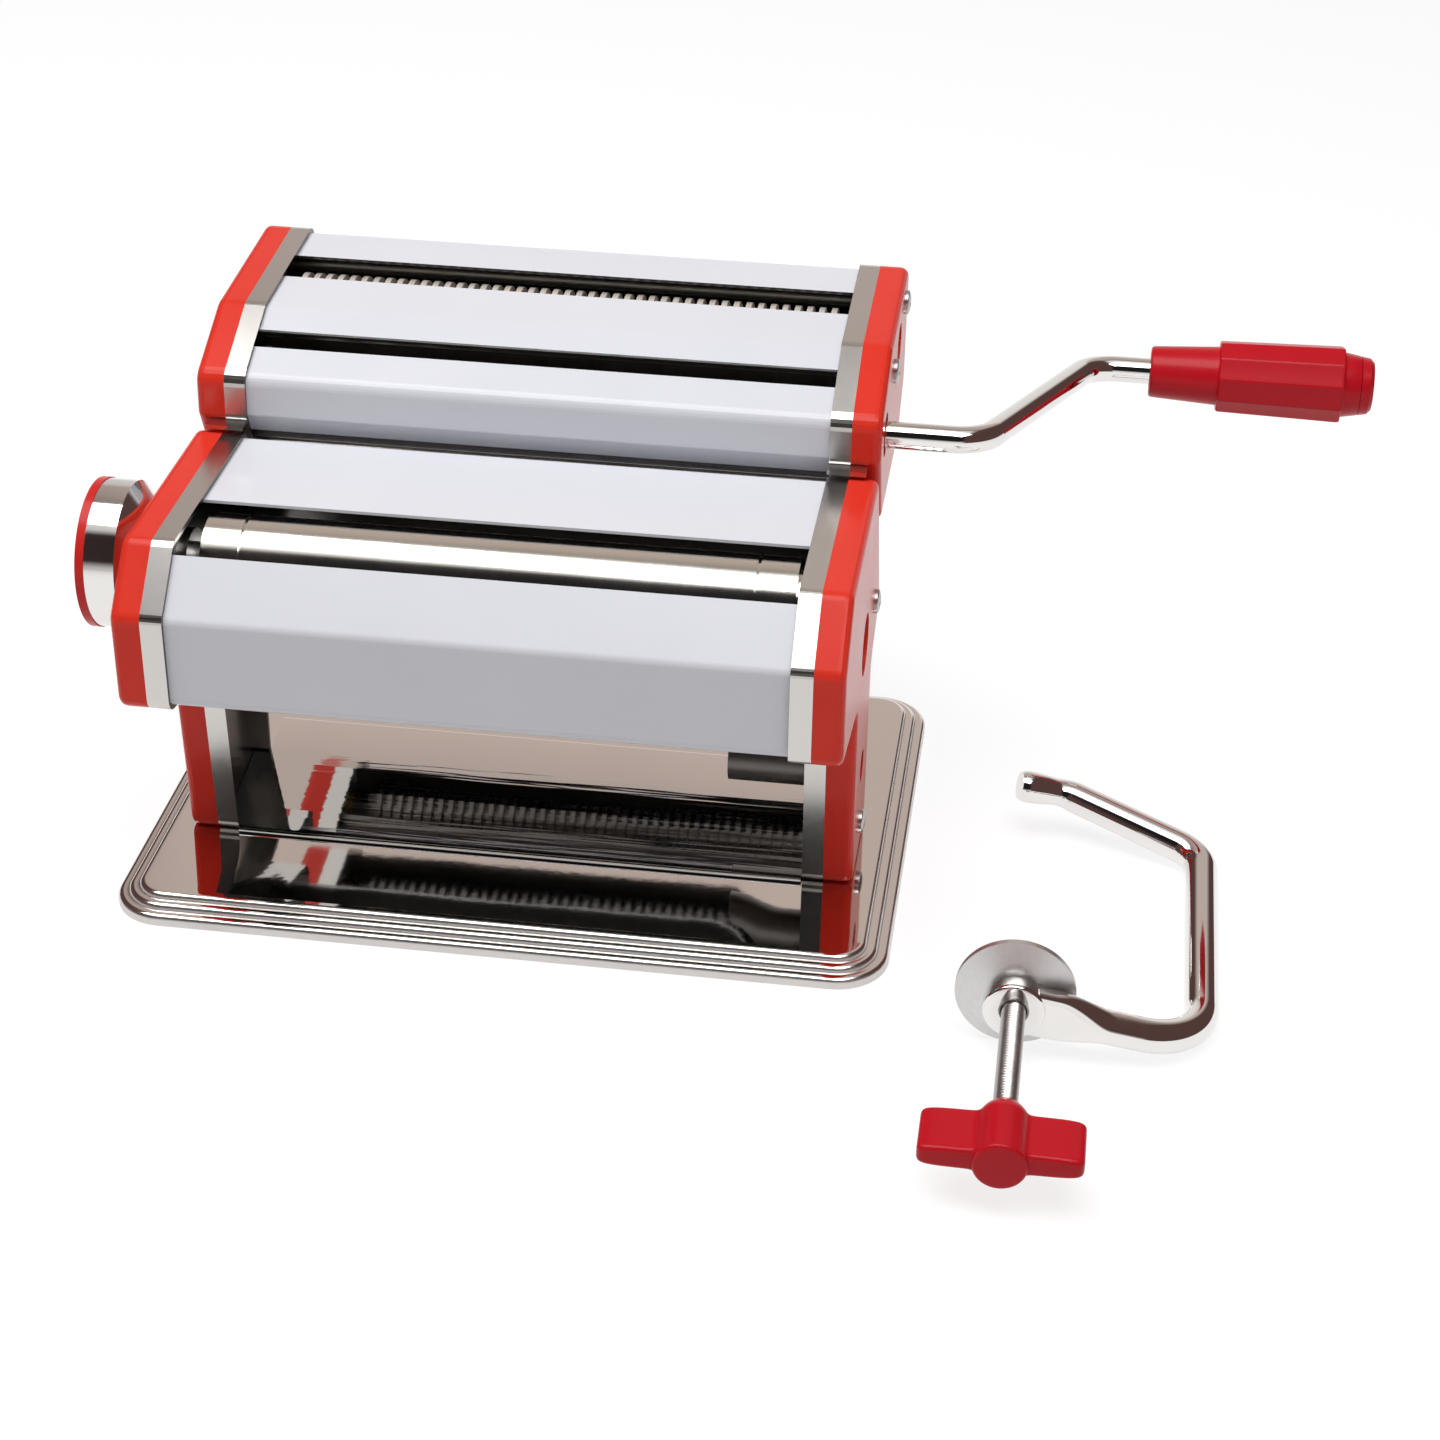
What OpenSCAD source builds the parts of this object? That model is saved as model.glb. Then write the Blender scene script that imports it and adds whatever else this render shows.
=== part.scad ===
// Hand cranked pasta machine: smooth rollers with a thickness regulator, a two-width cutter unit,
// a crank in the cutter's front socket and a table clamp that lies beside the machine.
// +X runs along the rollers towards the crank, +Y to the back and +Z up.
// The origin is the middle of the base plate's footprint on the table.

/* [Base plate] */
// Width of the base plate along the rollers
base_w = 205.4; // [196:0.2:230]
// Depth of the base plate from front to back
base_d = 143.6; // [130:0.2:170]
// Height of the plate's flat top above the table
base_h = 6; // [5.6:0.1:8]
// Radius of the plate's corners
base_corner_r = 14; // [11:0.5:20]
// Thickness of the pressed sheet
base_sheet = 1.2; // [0.8:0.1:1.6]
// Radius of each round step of the moulded rim
bead_r = 1.5; // [1.1:0.1:1.5]
// Flat land between two steps of the rim
bead_land = 1.4; // [1:0.1:2]
// Diameter of a rubber foot
foot_d = 16; // [10:1:22]

/* [Body] */
// Length of the rollers' working surface
roller_len = 150; // [140:1:150]
// Gap between the rollers' ends and the chrome bands
band_gap = 2; // [1:0.5:3]
// Width of the chrome band that each side plate folds inwards
band_w = 5.6; // [4.5:0.1:7]
// Thickness of the chrome side plates
plate_t = 1.2; // [0.8:0.1:1.5]
// Depth of the red side covers
cover_depth = 7.8; // [7.6:0.1:9]
// Wall of the red side covers
cover_wall = 1.6; // [1.2:0.1:1.8]
// Rounding of the covers' outer edge
cover_edge_r = 2.2; // [1:0.1:2.4]
// Thickness of the white sheet guards
guard_t = 0.8; // [0.6:0.1:1]
// Height of the main unit's flat top
body_top = 110.3; // [110:0.1:111]
// How far the front face stands ahead of the origin
nose_reach = 78; // [75:0.5:84]
// Size of the slanted corner at the top of the front face
nose_chamfer = 14.6; // [12:0.2:16]
// Height of the front face's lower edge
nose_bottom = 70; // [68:0.5:76]
// How far the legs' front edge stands ahead of the origin
leg_front = 33.5; // [32:0.5:36]
// Width of the legs at the base plate
leg_w = 33.5; // [28:0.5:36]
// Height where the legs widen into the body
leg_top = 58; // [55:0.5:60]
// Slope of the back face away from the vertical, in degrees
rear_lean = 25; // [24:0.5:26]
// Height of the back face's lower edge
rear_bottom = 64; // [62:0.5:66]
// Diameter of the tie rods between the side plates
tie_d = 6; // [4:0.5:7]

/* [Main rollers] */
// Diameter of the two smooth rollers
roller_d = 24; // [23:0.1:24]
// Smallest gap between the rollers
gap_min = 0.3; // [0.3:0.1:0.5]
// Offset of the eccentric shaft, half of the gap's travel
throw = 1.2; // [0.8:0.1:1.2]
// Slope of the line through both rollers' axes, in degrees
pair_tilt = 48; // [46:0.5:50]
// Regulator axis: distance ahead of the origin
regulator_y = 40.5; // [40:0.1:41.5]
// Regulator axis: height
regulator_z = 93.2; // [92.6:0.1:93.3]
// Rear edge of the feed slot: distance ahead of the origin
slot_rear = 37.9; // [36:0.1:38]
// Teeth of each roller gear
main_teeth = 12; // [11:1:13]

/* [Regulator knob] */
// Diameter of the knob
knob_d = 38; // [34:0.5:42]
// Length of the knob's cylindrical part
knob_len = 7.8; // [7:0.1:10]
// Thickness of the red cap
knob_cap_t = 2.2; // [1.5:0.1:3]
// How far the knob pulls out
knob_pull = 4.5; // [3:0.1:4.5]
// Number of thickness settings
settings = 7; // [5:1:9]

/* [Cutter unit] */
// Diameter of the cutter rollers over their discs
cutter_d = 17.2; // [16.8:0.1:17.2]
// Depth of the grooves between the discs
groove_depth = 2; // [1.7:0.1:2.2]
// Depth to which the discs of one roller enter the grooves of the other
disc_mesh = 1; // [0.8:0.1:1.1]
// Slope of the line through a pair's axes, in degrees
cutter_tilt = 35; // [33:0.5:37]
// Strip width of the front pair
wide_strip = 6.5; // [6:0.1:7]
// Strip width of the rear pair
narrow_strip = 1.65; // [1.6:0.05:2.2]
// Front pair's driven axis: distance behind the origin
wide_y = 14.5; // [14.4:0.1:15.5]
// Front pair's driven axis: height
wide_z = 115.6; // [115.4:0.1:116]
// Rear pair's driven axis: distance behind the origin
narrow_y = 50; // [49:0.5:51]
// Rear pair's driven axis: height
narrow_z = 125.4; // [124.5:0.1:125.6]
// Teeth of each cutter gear
cutter_teeth = 12; // [11:1:13]

/* [Crank] */
// Diameter of the crank rod
crank_d = 8; // [7.4:0.1:8]
// Radius from the shaft to the grip
crank_r = 70; // [60:1:76]
// Slope of the crank arm as it stands, in degrees
crank_angle = -6.6; // [-10:0.1:0]
// Straight length of the shaft outside the cover
crank_shaft_len = 25; // [22:0.5:30]
// Sideways run of the slanted arm
crank_arm_run = 26.2; // [22:0.1:32]
// Bend radius of the rod
crank_bend_r = 11; // [9:0.5:14]
// Length of the grip
grip_len = 61; // [52:0.5:70]
// Largest diameter of the grip
grip_d = 21.4; // [19:0.1:24]

/* [Table clamp] */
// Diameter of the clamp's rod
clamp_d = 8; // [7:0.1:9]
// Distance from the screw to the back of the clamp
clamp_throat = 47.3; // [42:0.1:56]
// Length of the clamp's back
clamp_back = 85; // [78:1:95]
// Diameter of the pad
pad_d = 30; // [26:0.5:32]
// Diameter of the screw
screw_d = 6; // [5:0.1:6.4]
// Length of screw between the eye and the wing's hub
screw_free = 38; // [34:0.5:42]
// Span of the wing
wing_w = 38.5; // [32:0.5:46]
// Clamp's screw axis: distance to the right of the origin
clamp_x = 136; // [132:0.5:145]
// Clamp's eye: distance ahead of the origin
clamp_y = 92; // [84:0.5:100]

/* [Clearances] */
// Gap all round a shaft in its bush
run_fit = 0.05; // [0.03:0.01:0.1]
// Gap between pieces that pass each other
pass_gap = 0.3; // [0.2:0.05:0.4]
// Gap between a sheet guard and the band over it
guard_gap = 0.1; // [0.05:0.05:0.2]

/* [Hidden] */
$fn = 64;

red = [0.80, 0.13, 0.11];
white = [0.90, 0.90, 0.93];
chrome = [0.72, 0.70, 0.68];
steel = [0.60, 0.60, 0.62];
brass = [0.74, 0.62, 0.36];
rubber = [0.12, 0.12, 0.12];

// Places along X, given for the right side
roller_half = roller_len / 2;
band_in = roller_half + band_gap;
plate_out = band_in + band_w;
web_in = plate_out - plate_t;
cover_in = plate_out + cover_depth - cover_wall;
cover_out = plate_out + cover_depth;
gear_gap = 0.6;
gear_w = cover_depth - cover_wall - 2 * gear_gap;
gear_x = plate_out + gear_gap;
journal_end = cover_out - 0.8;

// Outlines are closed paths of [y, z, corner radius], counterclockwise with y to the right and z up
rear_top_y = 0;
rear_foot_y = rear_top_y + (body_top - rear_bottom) * tan(rear_lean);
leg_rear = leg_w - leg_front;
body_corner_r = 4;
foot_corner_r = 3;
least_corner_r = 0.5;
body_outline = [
    [-leg_front, base_h, foot_corner_r],
    [leg_rear, base_h, foot_corner_r],
    [leg_rear + 1, leg_top - 3, body_corner_r],
    [rear_foot_y, rear_bottom, body_corner_r],
    [rear_top_y, body_top, body_corner_r],
    [nose_chamfer - nose_reach, body_top, body_corner_r],
    [-nose_reach, body_top - nose_chamfer, body_corner_r],
    [-nose_reach, nose_bottom, body_corner_r],
    [-leg_front - 4, leg_top + 4, body_corner_r]
];

// The cutter's outline stays behind the main unit's sloping back
cutter_back = 76;
cutter_nose = [1.2, 113.4];
cutter_drop = 21.6;
cutter_foot = [cutter_nose[0] + cutter_drop * tan(rear_lean), cutter_nose[1] - cutter_drop];
cutter_fold = [26, 135.5];
cutter_brow = [2, 124.6];
cutter_rear_top = [cutter_back, 138.5];
cutter_outline = [
    [cutter_foot[0], cutter_foot[1], 3],
    [cutter_back - 15, cutter_foot[1], 6],
    [cutter_back, cutter_foot[1] + 13, 6],
    [cutter_rear_top[0], cutter_rear_top[1], 4],
    [cutter_fold[0], cutter_fold[1], 6],
    [cutter_brow[0], cutter_brow[1], 5],
    [cutter_nose[0], cutter_nose[1], 2.5]
];
wide_slot = [13.5, 19];
narrow_slot = [47.4, 57.9];

// Axes in the YZ plane
function dir(angle) = [cos(angle), sin(angle)];
regulator_axis = [-regulator_y, regulator_z];
pair_dir = dir(180 - pair_tilt);
pair_mean = roller_d + gap_min + throw;
rear_axis = regulator_axis - pair_mean * pair_dir;
front_axis = regulator_axis + throw * pair_dir;
cutter_dir = dir(-cutter_tilt);
cutter_span = cutter_d - disc_mesh;
wide_axis = [wide_y, wide_z];
wide_idle_axis = wide_axis + cutter_span * cutter_dir;
narrow_axis = [narrow_y, narrow_z];
narrow_idle_axis = narrow_axis + cutter_span * cutter_dir;

// Gears: slack teeth let the front roller swing on its eccentric and stay in mesh
pressure = 25;
main_pitch_r = (roller_d + gap_min + 0.7) / 2;
main_tip_r = main_pitch_r + 1.6;
main_root_r = main_pitch_r - 2.6;
main_tooth_t = PI * main_pitch_r / main_teeth - throw + 0.1;
cutter_pitch_r = cutter_span / 2;
cutter_tip_r = cutter_pitch_r + 1.05;
cutter_root_r = cutter_pitch_r - 1.3;
cutter_tooth_t = PI * cutter_pitch_r / cutter_teeth - 0.25;

// Journals and sockets
main_journal_d = 16;
main_left_d = 10;
cutter_journal_d = 11;
cutter_left_d = 9;
socket_d = crank_d + 4 * run_fit;
socket_depth = 14;
tang_t = 0.55 * crank_d;
tang_len = 5;
bush_wall = 2;
bush_flange = 1.5;
bush_len = bush_flange + plate_t + gear_gap / 2;
main_bush_lip = 1.5;
cutter_bush_lip = 0.4;
eccentric_d = 12;
shaft_d = 9;
sleeve_d = 16;
sleeve_len = 12;
neck_bore_d = eccentric_d + 2 * pass_gap;
boss_d = shaft_d + 3.4;
boss_len = 3.2;
gear_recess_d = boss_d + 2 * throw + 2 * pass_gap;
collar_w = 10;
collar_groove = 0.8;
collar_depth = 0.6;
shoulder_w = 4;

// Knob
knob_gap = 0.8;
knob_base = cover_out + knob_gap;
knob_neck = 3.8;
knob_floor = 3;
knob_shoulder = knob_base + knob_neck;
knob_end = knob_shoulder + knob_len;
knob_cavity_d = 18;
retainer_t = 1.4;
retainer_gap = 0.2;
retainer_in = knob_end - retainer_gap - retainer_t;
pin_d = 3;
pin_ring_r = 11;
index_turn = 180;
index_slot_w = pin_d + 2 * pass_gap;

function unit(v) = v / norm(v);
function flat(p) = [p[0], p[1]];

// Points of the arc that rounds the corner at a vertex
function corner_arc(before, at, after, radius, steps) =
    let (
        u = unit(before - at),
        v = unit(after - at),
        half = acos(u * v) / 2,
        middle = at + unit(u + v) * radius / sin(half),
        from = at + u * radius / tan(half) - middle,
        to = at + v * radius / tan(half) - middle,
        start = atan2(from[1], from[0]),
        sweep = (atan2(to[1], to[0]) - start + 540) % 360 - 180
    )
    [for (k = [0:steps]) middle + radius * dir(start + sweep * k / steps)];

// A closed path with its corners rounded
function rounded(path, steps = 5) =
    let (n = len(path))
    [for (i = [0:n - 1]) each corner_arc(
        flat(path[(i + n - 1) % n]), flat(path[i]), flat(path[(i + 1) % n]), path[i][2], steps)];

// A closed path moved inwards by a distance, with its corner radii kept concentric
function inset(path, distance) =
    let (n = len(path))
    [for (i = [0:n - 1])
        let (
            at = flat(path[i]),
            e = unit(at - flat(path[(i + n - 1) % n])),
            f = unit(flat(path[(i + 1) % n]) - at),
            a = [-e[1], e[0]],
            b = [-f[1], f[0]],
            moved = at + distance * (a + b) / (1 + a * b),
            convex = e[0] * f[1] - e[1] * f[0] > 0
        )
        [moved[0], moved[1], convex ? max(path[i][2] - distance, least_corner_r) : path[i][2] + distance]];

// Turns a shape drawn in (y, z) and raised along +Z so that it runs along +X from x
module along_x(x = 0) {
    translate([x, 0, 0]) rotate([90, 0, 90]) children();
}

module place(axis) {
    translate([0, axis[0], axis[1]]) children();
}

// A round bar along X between two places
module bar_x(from, to, d) {
    along_x(from) cylinder(h = to - from, d = d);
}

// A solid skinned over loops of equally many points, each counterclockwise seen from the next;
// its ends are closed by caps, or a ring runs on from the last loop to the first
module skin(loops, ring = false) {
    n = len(loops[0]);
    count = len(loops);
    walls = [for (k = [0:count - (ring ? 1 : 2)]) each [for (i = [0:n - 1])
        let (j = (i + 1) % n, here = k * n, next = (k + 1) % count * n)
        each [[here + i, next + i, here + j], [here + j, next + i, next + j]]]];
    caps = [[for (i = [0:n - 1]) i], [for (i = [n - 1:-1:0]) (count - 1) * n + i]];
    polyhedron([for (loop = loops) each loop], ring ? walls : concat(caps, walls));
}

module on_both_sides() {
    children();
    mirror([1, 0, 0]) children();
}

// Chrome side plate: a web with its edge folded inwards as a band
module flanged_plate(outline) {
    along_x(web_in) linear_extrude(plate_t) polygon(rounded(outline));
    along_x(band_in) linear_extrude(band_w) difference() {
        polygon(rounded(outline));
        polygon(rounded(inset(outline, plate_t)));
    }
}

// Red side cover: a flat face in a skinned rim whose outer edge is rounded
module cover_shell(outline) {
    edge_steps = 4;
    face_in = cover_edge_r + cover_wall;
    rings = concat(
        [[cover_depth - cover_wall, face_in], [cover_depth - cover_wall, cover_wall], [0, cover_wall], [0, 0]],
        [for (k = [0:edge_steps])
            let (a = 90 * k / edge_steps)
            [cover_depth - cover_edge_r * (1 - sin(a)), cover_edge_r * (1 - cos(a))]],
        [[cover_depth, face_in]]
    );
    skin([for (ring = rings)
        [for (p = rounded(inset(outline, ring[1]))) [plate_out + ring[0], p[0], p[1]]]], ring = true);
    along_x(cover_in) linear_extrude(cover_wall) polygon(rounded(inset(outline, face_in)));
}

// The part of the sheet under a band that lies inside a window drawn in (y, z)
module guard(outline, window) {
    outer = inset(outline, plate_t + guard_gap);
    along_x(-web_in) linear_extrude(2 * web_in) intersection() {
        difference() {
            polygon(rounded(outer));
            polygon(rounded(inset(outer, guard_t)));
        }
        polygon(window);
    }
}

// Flanged bush in a right side plate, for a journal along X
module bush(d, lip) {
    outer_d = d + 2 * bush_wall;
    difference() {
        union() {
            bar_x(web_in - bush_flange, web_in, outer_d + 2 * lip);
            bar_x(web_in - bush_flange, web_in - bush_flange + bush_len, outer_d);
        }
        bar_x(web_in - bush_flange - 1, cover_out, d + 2 * run_fit);
    }
}

function bush_hole(d) = d + 2 * bush_wall + 2 * run_fit;

// Gear blank with involute teeth, one tooth centred on +X of its own plane
module gear_outline(teeth, pitch_r, tip_r, root_r, tooth_t) {
    base_r = pitch_r * cos(pressure);
    flank_from = max(base_r, root_r);
    flank_steps = 4;
    radii = concat([root_r], [for (k = [0:flank_steps]) flank_from + (tip_r - flank_from) * k / flank_steps]);
    function roll(r) = let (a = acos(min(1, base_r / r))) tan(a) * 180 / PI - a;
    function half(r) = tooth_t / (2 * pitch_r) * 180 / PI + roll(pitch_r) - roll(max(r, base_r));
    polygon([for (t = [0:teeth - 1]) each concat(
        [for (r = radii) r * dir(t * 360 / teeth - half(r))],
        [for (k = [len(radii) - 1:-1:0]) radii[k] * dir(t * 360 / teeth + half(radii[k]))])]);
}

// A rod bent in its own XY plane along a path, with a bend radius at each inner corner
module bent_rod(path, bends, d) {
    sides = 32;
    bend_steps = 8;
    last = len(path) - 1;
    line = concat(
        [path[0]],
        [for (i = [1:last - 1]) each corner_arc(path[i - 1], path[i], path[i + 1], bends[i - 1], bend_steps)],
        [path[last]]);
    end = len(line) - 1;
    skin([for (k = [0:end])
        let (
            ahead = line[min(k + 1, end)] - line[min(k, end - 1)],
            behind = line[max(k, 1)] - line[max(k - 1, 0)],
            heading = unit(unit(ahead) + unit(behind)),
            across = d / 2 * [-heading[1], heading[0]]
        )
        [for (i = [0:sides - 1])
            let (a = 360 * i / sides)
            [line[k][0] + across[0] * cos(a), line[k][1] + across[1] * cos(a), d / 2 * sin(a)]]]);
}

// Base plate

// A rectangle with rounded corners
module rounded_sheet(w, d, r) {
    square([w, d - 2 * r], center = true);
    square([w - 2 * r, d], center = true);
    for (x = [-1, 1], y = [-1, 1]) translate([x * (w / 2 - r), y * (d / 2 - r)]) circle(r = r);
}

// The base plate's outline, drawn in from its edge by a distance
module base_outline(distance) {
    rounded_sheet(base_w - 2 * distance, base_d - 2 * distance, base_corner_r - distance);
}

rim_steps = 3;
lip_h = base_h - rim_steps * bead_r;
rim_w = rim_steps * (bead_r + bead_land);

// Section of the rim: distance in from the edge against height
function rim_section() = concat(
    [for (k = [0:rim_steps - 1]) each
        [for (a = [0:22.5:90])
            [k * (bead_r + bead_land) + bead_r * (1 - cos(a)), lip_h + k * bead_r + bead_r * sin(a)]]],
    [[rim_w, base_h], [rim_w, base_h - base_sheet], [base_sheet, lip_h]]);

// The rim's section turned round a corner or drawn along a side
module rim_corner() {
    rotate_extrude(angle = 90) translate([base_corner_r, 0]) mirror([1, 0]) polygon(rim_section());
}

module rim_side(length) {
    translate([0, length / 2, 0]) rotate([90, 0, 0]) linear_extrude(length) mirror([1, 0]) polygon(rim_section());
}

module base_plate() {
    side_x = base_w / 2 - base_corner_r;
    side_y = base_d / 2 - base_corner_r;
    color(chrome) {
        translate([0, 0, base_h - base_sheet]) linear_extrude(base_sheet) base_outline(rim_w);
        linear_extrude(lip_h) difference() {
            base_outline(0);
            base_outline(base_sheet);
        }
        for (turn = [0, 180]) rotate(turn) {
            translate([base_w / 2, 0, 0]) rim_side(2 * side_y);
            translate([0, base_d / 2, 0]) rotate(90) rim_side(2 * side_x);
            translate([side_x, side_y, 0]) rim_corner();
            translate([-side_x, side_y, 0]) rotate(90) rim_corner();
        }
    }
}

module rubber_feet() {
    inset_x = base_w / 2 - rim_w - foot_d;
    inset_y = base_d / 2 - rim_w - foot_d;
    color(rubber) for (x = [-1, 1], y = [-1, 1]) translate([x * inset_x, y * inset_y, 0])
        cylinder(h = base_h - base_sheet, d = foot_d);
}

// Side plates and covers of the main unit

clamp_hole_d = clamp_d + 1;
clamp_hole_axis = [(leg_rear - leg_front) / 2 - 1, 34];
neck_hole_d = main_journal_d + 2 * throw + 4 * pass_gap;
socket_window_d = main_journal_d + 2 * pass_gap;
screw_axes = [[4, 72], [(leg_rear - leg_front) / 2, 16]];

module left_side_plate() {
    color(chrome) mirror([1, 0, 0]) difference() {
        flanged_plate(body_outline);
        place(regulator_axis) bar_x(web_in - 1, plate_out + 1, bush_hole(shaft_d));
        place(rear_axis) bar_x(web_in - 1, plate_out + 1, bush_hole(main_left_d));
    }
}

module right_side_plate() {
    color(chrome) difference() {
        flanged_plate(body_outline);
        place(regulator_axis) bar_x(web_in - 1, plate_out + 1, neck_hole_d);
        place(rear_axis) bar_x(web_in - 1, plate_out + 1, bush_hole(main_journal_d));
        place(clamp_hole_axis) bar_x(web_in - 1, plate_out + 1, clamp_hole_d);
    }
}

screw_shank_d = 3.4;

module screw_holes(axes) {
    for (axis = axes) place(axis) bar_x(cover_in - 1, cover_out + 1, screw_shank_d);
}

module left_side_cover() {
    color(red) mirror([1, 0, 0]) difference() {
        cover_shell(body_outline);
        place(regulator_axis) bar_x(cover_in - 1, cover_out + 1, shaft_d + 4 * pass_gap);
        place(regulator_axis) along_x(cover_in - 1) {
            rotate(90) rotate_extrude(angle = index_turn)
                translate([pin_ring_r - index_slot_w / 2, 0]) square([index_slot_w, cover_wall + 2]);
            for (k = [0:settings - 1]) rotate(90 + k * index_turn / (settings - 1))
                translate([pin_ring_r, 0, 0]) cylinder(h = cover_wall + 2, d = index_slot_w + 0.8);
        }
        screw_holes(screw_axes);
    }
}

module right_side_cover() {
    color(red) difference() {
        union() {
            cover_shell(body_outline);
            place(regulator_axis) bar_x(cover_in - boss_len, cover_in + 0.4, boss_d);
        }
        place(regulator_axis) bar_x(cover_in - boss_len - 1, cover_in + 0.4, shaft_d + 2 * run_fit);
        place(rear_axis) bar_x(cover_in - 1, cover_out + 1, socket_window_d);
        place(clamp_hole_axis) bar_x(cover_in - 1, cover_out + 1, clamp_hole_d);
        screw_holes(screw_axes);
    }
}

module cover_screw(axis) {
    head_d = 6.5;
    head_h = 1.6;
    place(axis) {
        bar_x(plate_out, cover_out, screw_shank_d - 2 * run_fit);
        bar_x(cover_out, cover_out + head_h, head_d);
    }
}

module cover_screws() {
    color(steel) on_both_sides() for (axis = screw_axes) cover_screw(axis);
}

// Guards, tie rods and scrapers of the main unit

guard_edge = nose_reach - nose_chamfer + 1.2;
far = 200;

module front_guard() {
    color(white) guard(body_outline,
        [[-guard_edge, far], [-far, far], [-far, nose_bottom - 12], [-nose_reach + 12, nose_bottom - 12],
         [-nose_reach + 12, nose_bottom + 6], [-guard_edge, nose_bottom + 6]]);
}

module rear_guard() {
    color(white) guard(body_outline,
        [[-slot_rear, body_top - 5], [-10, body_top - 5], [0, rear_bottom + 5], [far, rear_bottom + 5],
         [far, far], [-slot_rear, far]]);
}

front_tie_inset = 9;
tie_axes = [[5, 78], [front_tie_inset - nose_reach, 86], [-9, 101]];

module tie_rods() {
    color(steel) for (axis = tie_axes) place(axis) bar_x(-web_in, web_in, tie_d);
}

// Blade along X from a point in the YZ plane, leaving it at an angle
module scraper_blade(start, angle, length) {
    blade_t = 0.8;
    along_x(-web_in) linear_extrude(2 * web_in)
        translate(start) rotate(angle) translate([0, -blade_t / 2]) square([length, blade_t]);
}

module front_scraper() {
    start_angle = 240;
    lean = 252;
    length = 11;
    start = regulator_axis + (roller_d / 2 + throw + 2 * pass_gap) * dir(start_angle);
    color(steel) scraper_blade(start, lean, length);
}

module rear_scraper() {
    start_angle = 235;
    lean = 262;
    length = 10;
    start = rear_axis + (roller_d / 2 + 2 * pass_gap) * dir(start_angle);
    color(steel) scraper_blade(start, lean, length);
}

module main_bushes() {
    color(brass) {
        mirror([1, 0, 0]) place(regulator_axis) bush(shaft_d, main_bush_lip);
        mirror([1, 0, 0]) place(rear_axis) bush(main_left_d, main_bush_lip);
        place(rear_axis) bush(main_journal_d, main_bush_lip);
    }
}

clamp_socket_len = 26;

module clamp_socket() {
    color(steel) place(clamp_hole_axis) difference() {
        bar_x(web_in - clamp_socket_len, web_in, clamp_hole_d + 4);
        bar_x(web_in - clamp_socket_len - 1, web_in + 1, clamp_hole_d);
    }
}

// Rails on the sloping back that carry the cutter unit

// Stands a shape on the back's sheet: X stays, +Y points down the slope and +Z away from it
module on_back() {
    translate([0, rear_top_y, body_top]) rotate([rear_lean - 90, 0, 0])
        translate([0, 0, -plate_t - guard_gap]) children();
}

rail_x = 64;
rail_w = 14;
rail_h = 5.4;
rail_from = 12;
rail_to = 36;
rail_stop = 3;
hook_w = 8.4;
hook_h = 1.8;
hook_floor = 1.6;
neck_w = 4.4;
hanger_gap = 1;
hanger_t = 1.2;
hanger_from = 13;
hanger_to = 20.5;

module cutter_rails() {
    cavity_h = hook_h + 2 * pass_gap;
    color(chrome) for (side = [-1, 1]) on_back() translate([side * rail_x, 0, 0]) difference() {
        translate([-rail_w / 2, rail_from, 0]) cube([rail_w, rail_to - rail_from, rail_h]);
        translate([-hook_w / 2 - pass_gap, rail_from - 1, hook_floor])
            cube([hook_w + 2 * pass_gap, rail_to - rail_stop - rail_from + 1, cavity_h]);
        translate([-neck_w / 2 - pass_gap, rail_from - 1, hook_floor])
            cube([neck_w + 2 * pass_gap, rail_to - rail_stop - rail_from + 1, rail_h]);
    }
}

// Main rollers

module end_grooves(d, depth) {
    for (side = [-1, 1]) along_x(side * (roller_half - collar_w) - collar_groove / 2) difference() {
        cylinder(h = collar_groove, d = d + 2);
        translate([0, 0, -1]) cylinder(h = collar_groove + 2, d = d - 2 * depth);
    }
}

// Bore for the crank's round end, with a broached slot for its tang at the bottom
module drive_socket() {
    slot_t = tang_t + 2 * pass_gap;
    slot_h = socket_d + 2 * pass_gap;
    slot_len = tang_len + pass_gap;
    bar_x(journal_end - socket_depth, journal_end + 1, socket_d);
    translate([journal_end - socket_depth - slot_len, -slot_t / 2, -slot_h / 2]) cube([slot_len, slot_t, slot_h]);
}

module rear_roller() {
    color(chrome) place(rear_axis) difference() {
        union() {
            bar_x(-roller_half, roller_half, roller_d);
            bar_x(-web_in + bush_flange - bush_len, -roller_half, main_left_d);
            bar_x(roller_half, journal_end, main_journal_d);
        }
        end_grooves(roller_d, collar_depth);
        drive_socket();
    }
}

module front_roller() {
    neck_end = gear_x + 2;
    color(chrome) place(front_axis) difference() {
        union() {
            bar_x(-roller_half, roller_half, roller_d);
            bar_x(roller_half, roller_half + shoulder_w, main_journal_d + 3);
            bar_x(roller_half, neck_end, main_journal_d);
        }
        end_grooves(roller_d, collar_depth);
        bar_x(-roller_half - 1, neck_end + 1, neck_bore_d);
        for (side = [-1, 1]) bar_x(side * (roller_half - sleeve_len / 2) - sleeve_len / 2,
            side * (roller_half - sleeve_len / 2) + sleeve_len / 2, sleeve_d);
    }
}

module roller_sleeves() {
    color(brass) place(front_axis) for (side = [-1, 1]) translate([side * (roller_half - sleeve_len / 2), 0, 0])
        difference() {
            bar_x(-sleeve_len / 2 + run_fit, sleeve_len / 2 - run_fit, sleeve_d - 2 * run_fit);
            bar_x(-sleeve_len, sleeve_len, eccentric_d + 2 * run_fit);
        }
}

module main_gear(first_tooth) {
    along_x(gear_x) rotate(first_tooth) linear_extrude(gear_w)
        gear_outline(main_teeth, main_pitch_r, main_tip_r, main_root_r, main_tooth_t);
}

module rear_roller_gear() {
    color(steel) place(rear_axis) difference() {
        main_gear(180 - pair_tilt);
        bar_x(gear_x - 1, cover_out, main_journal_d + 2 * run_fit);
    }
}

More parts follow.
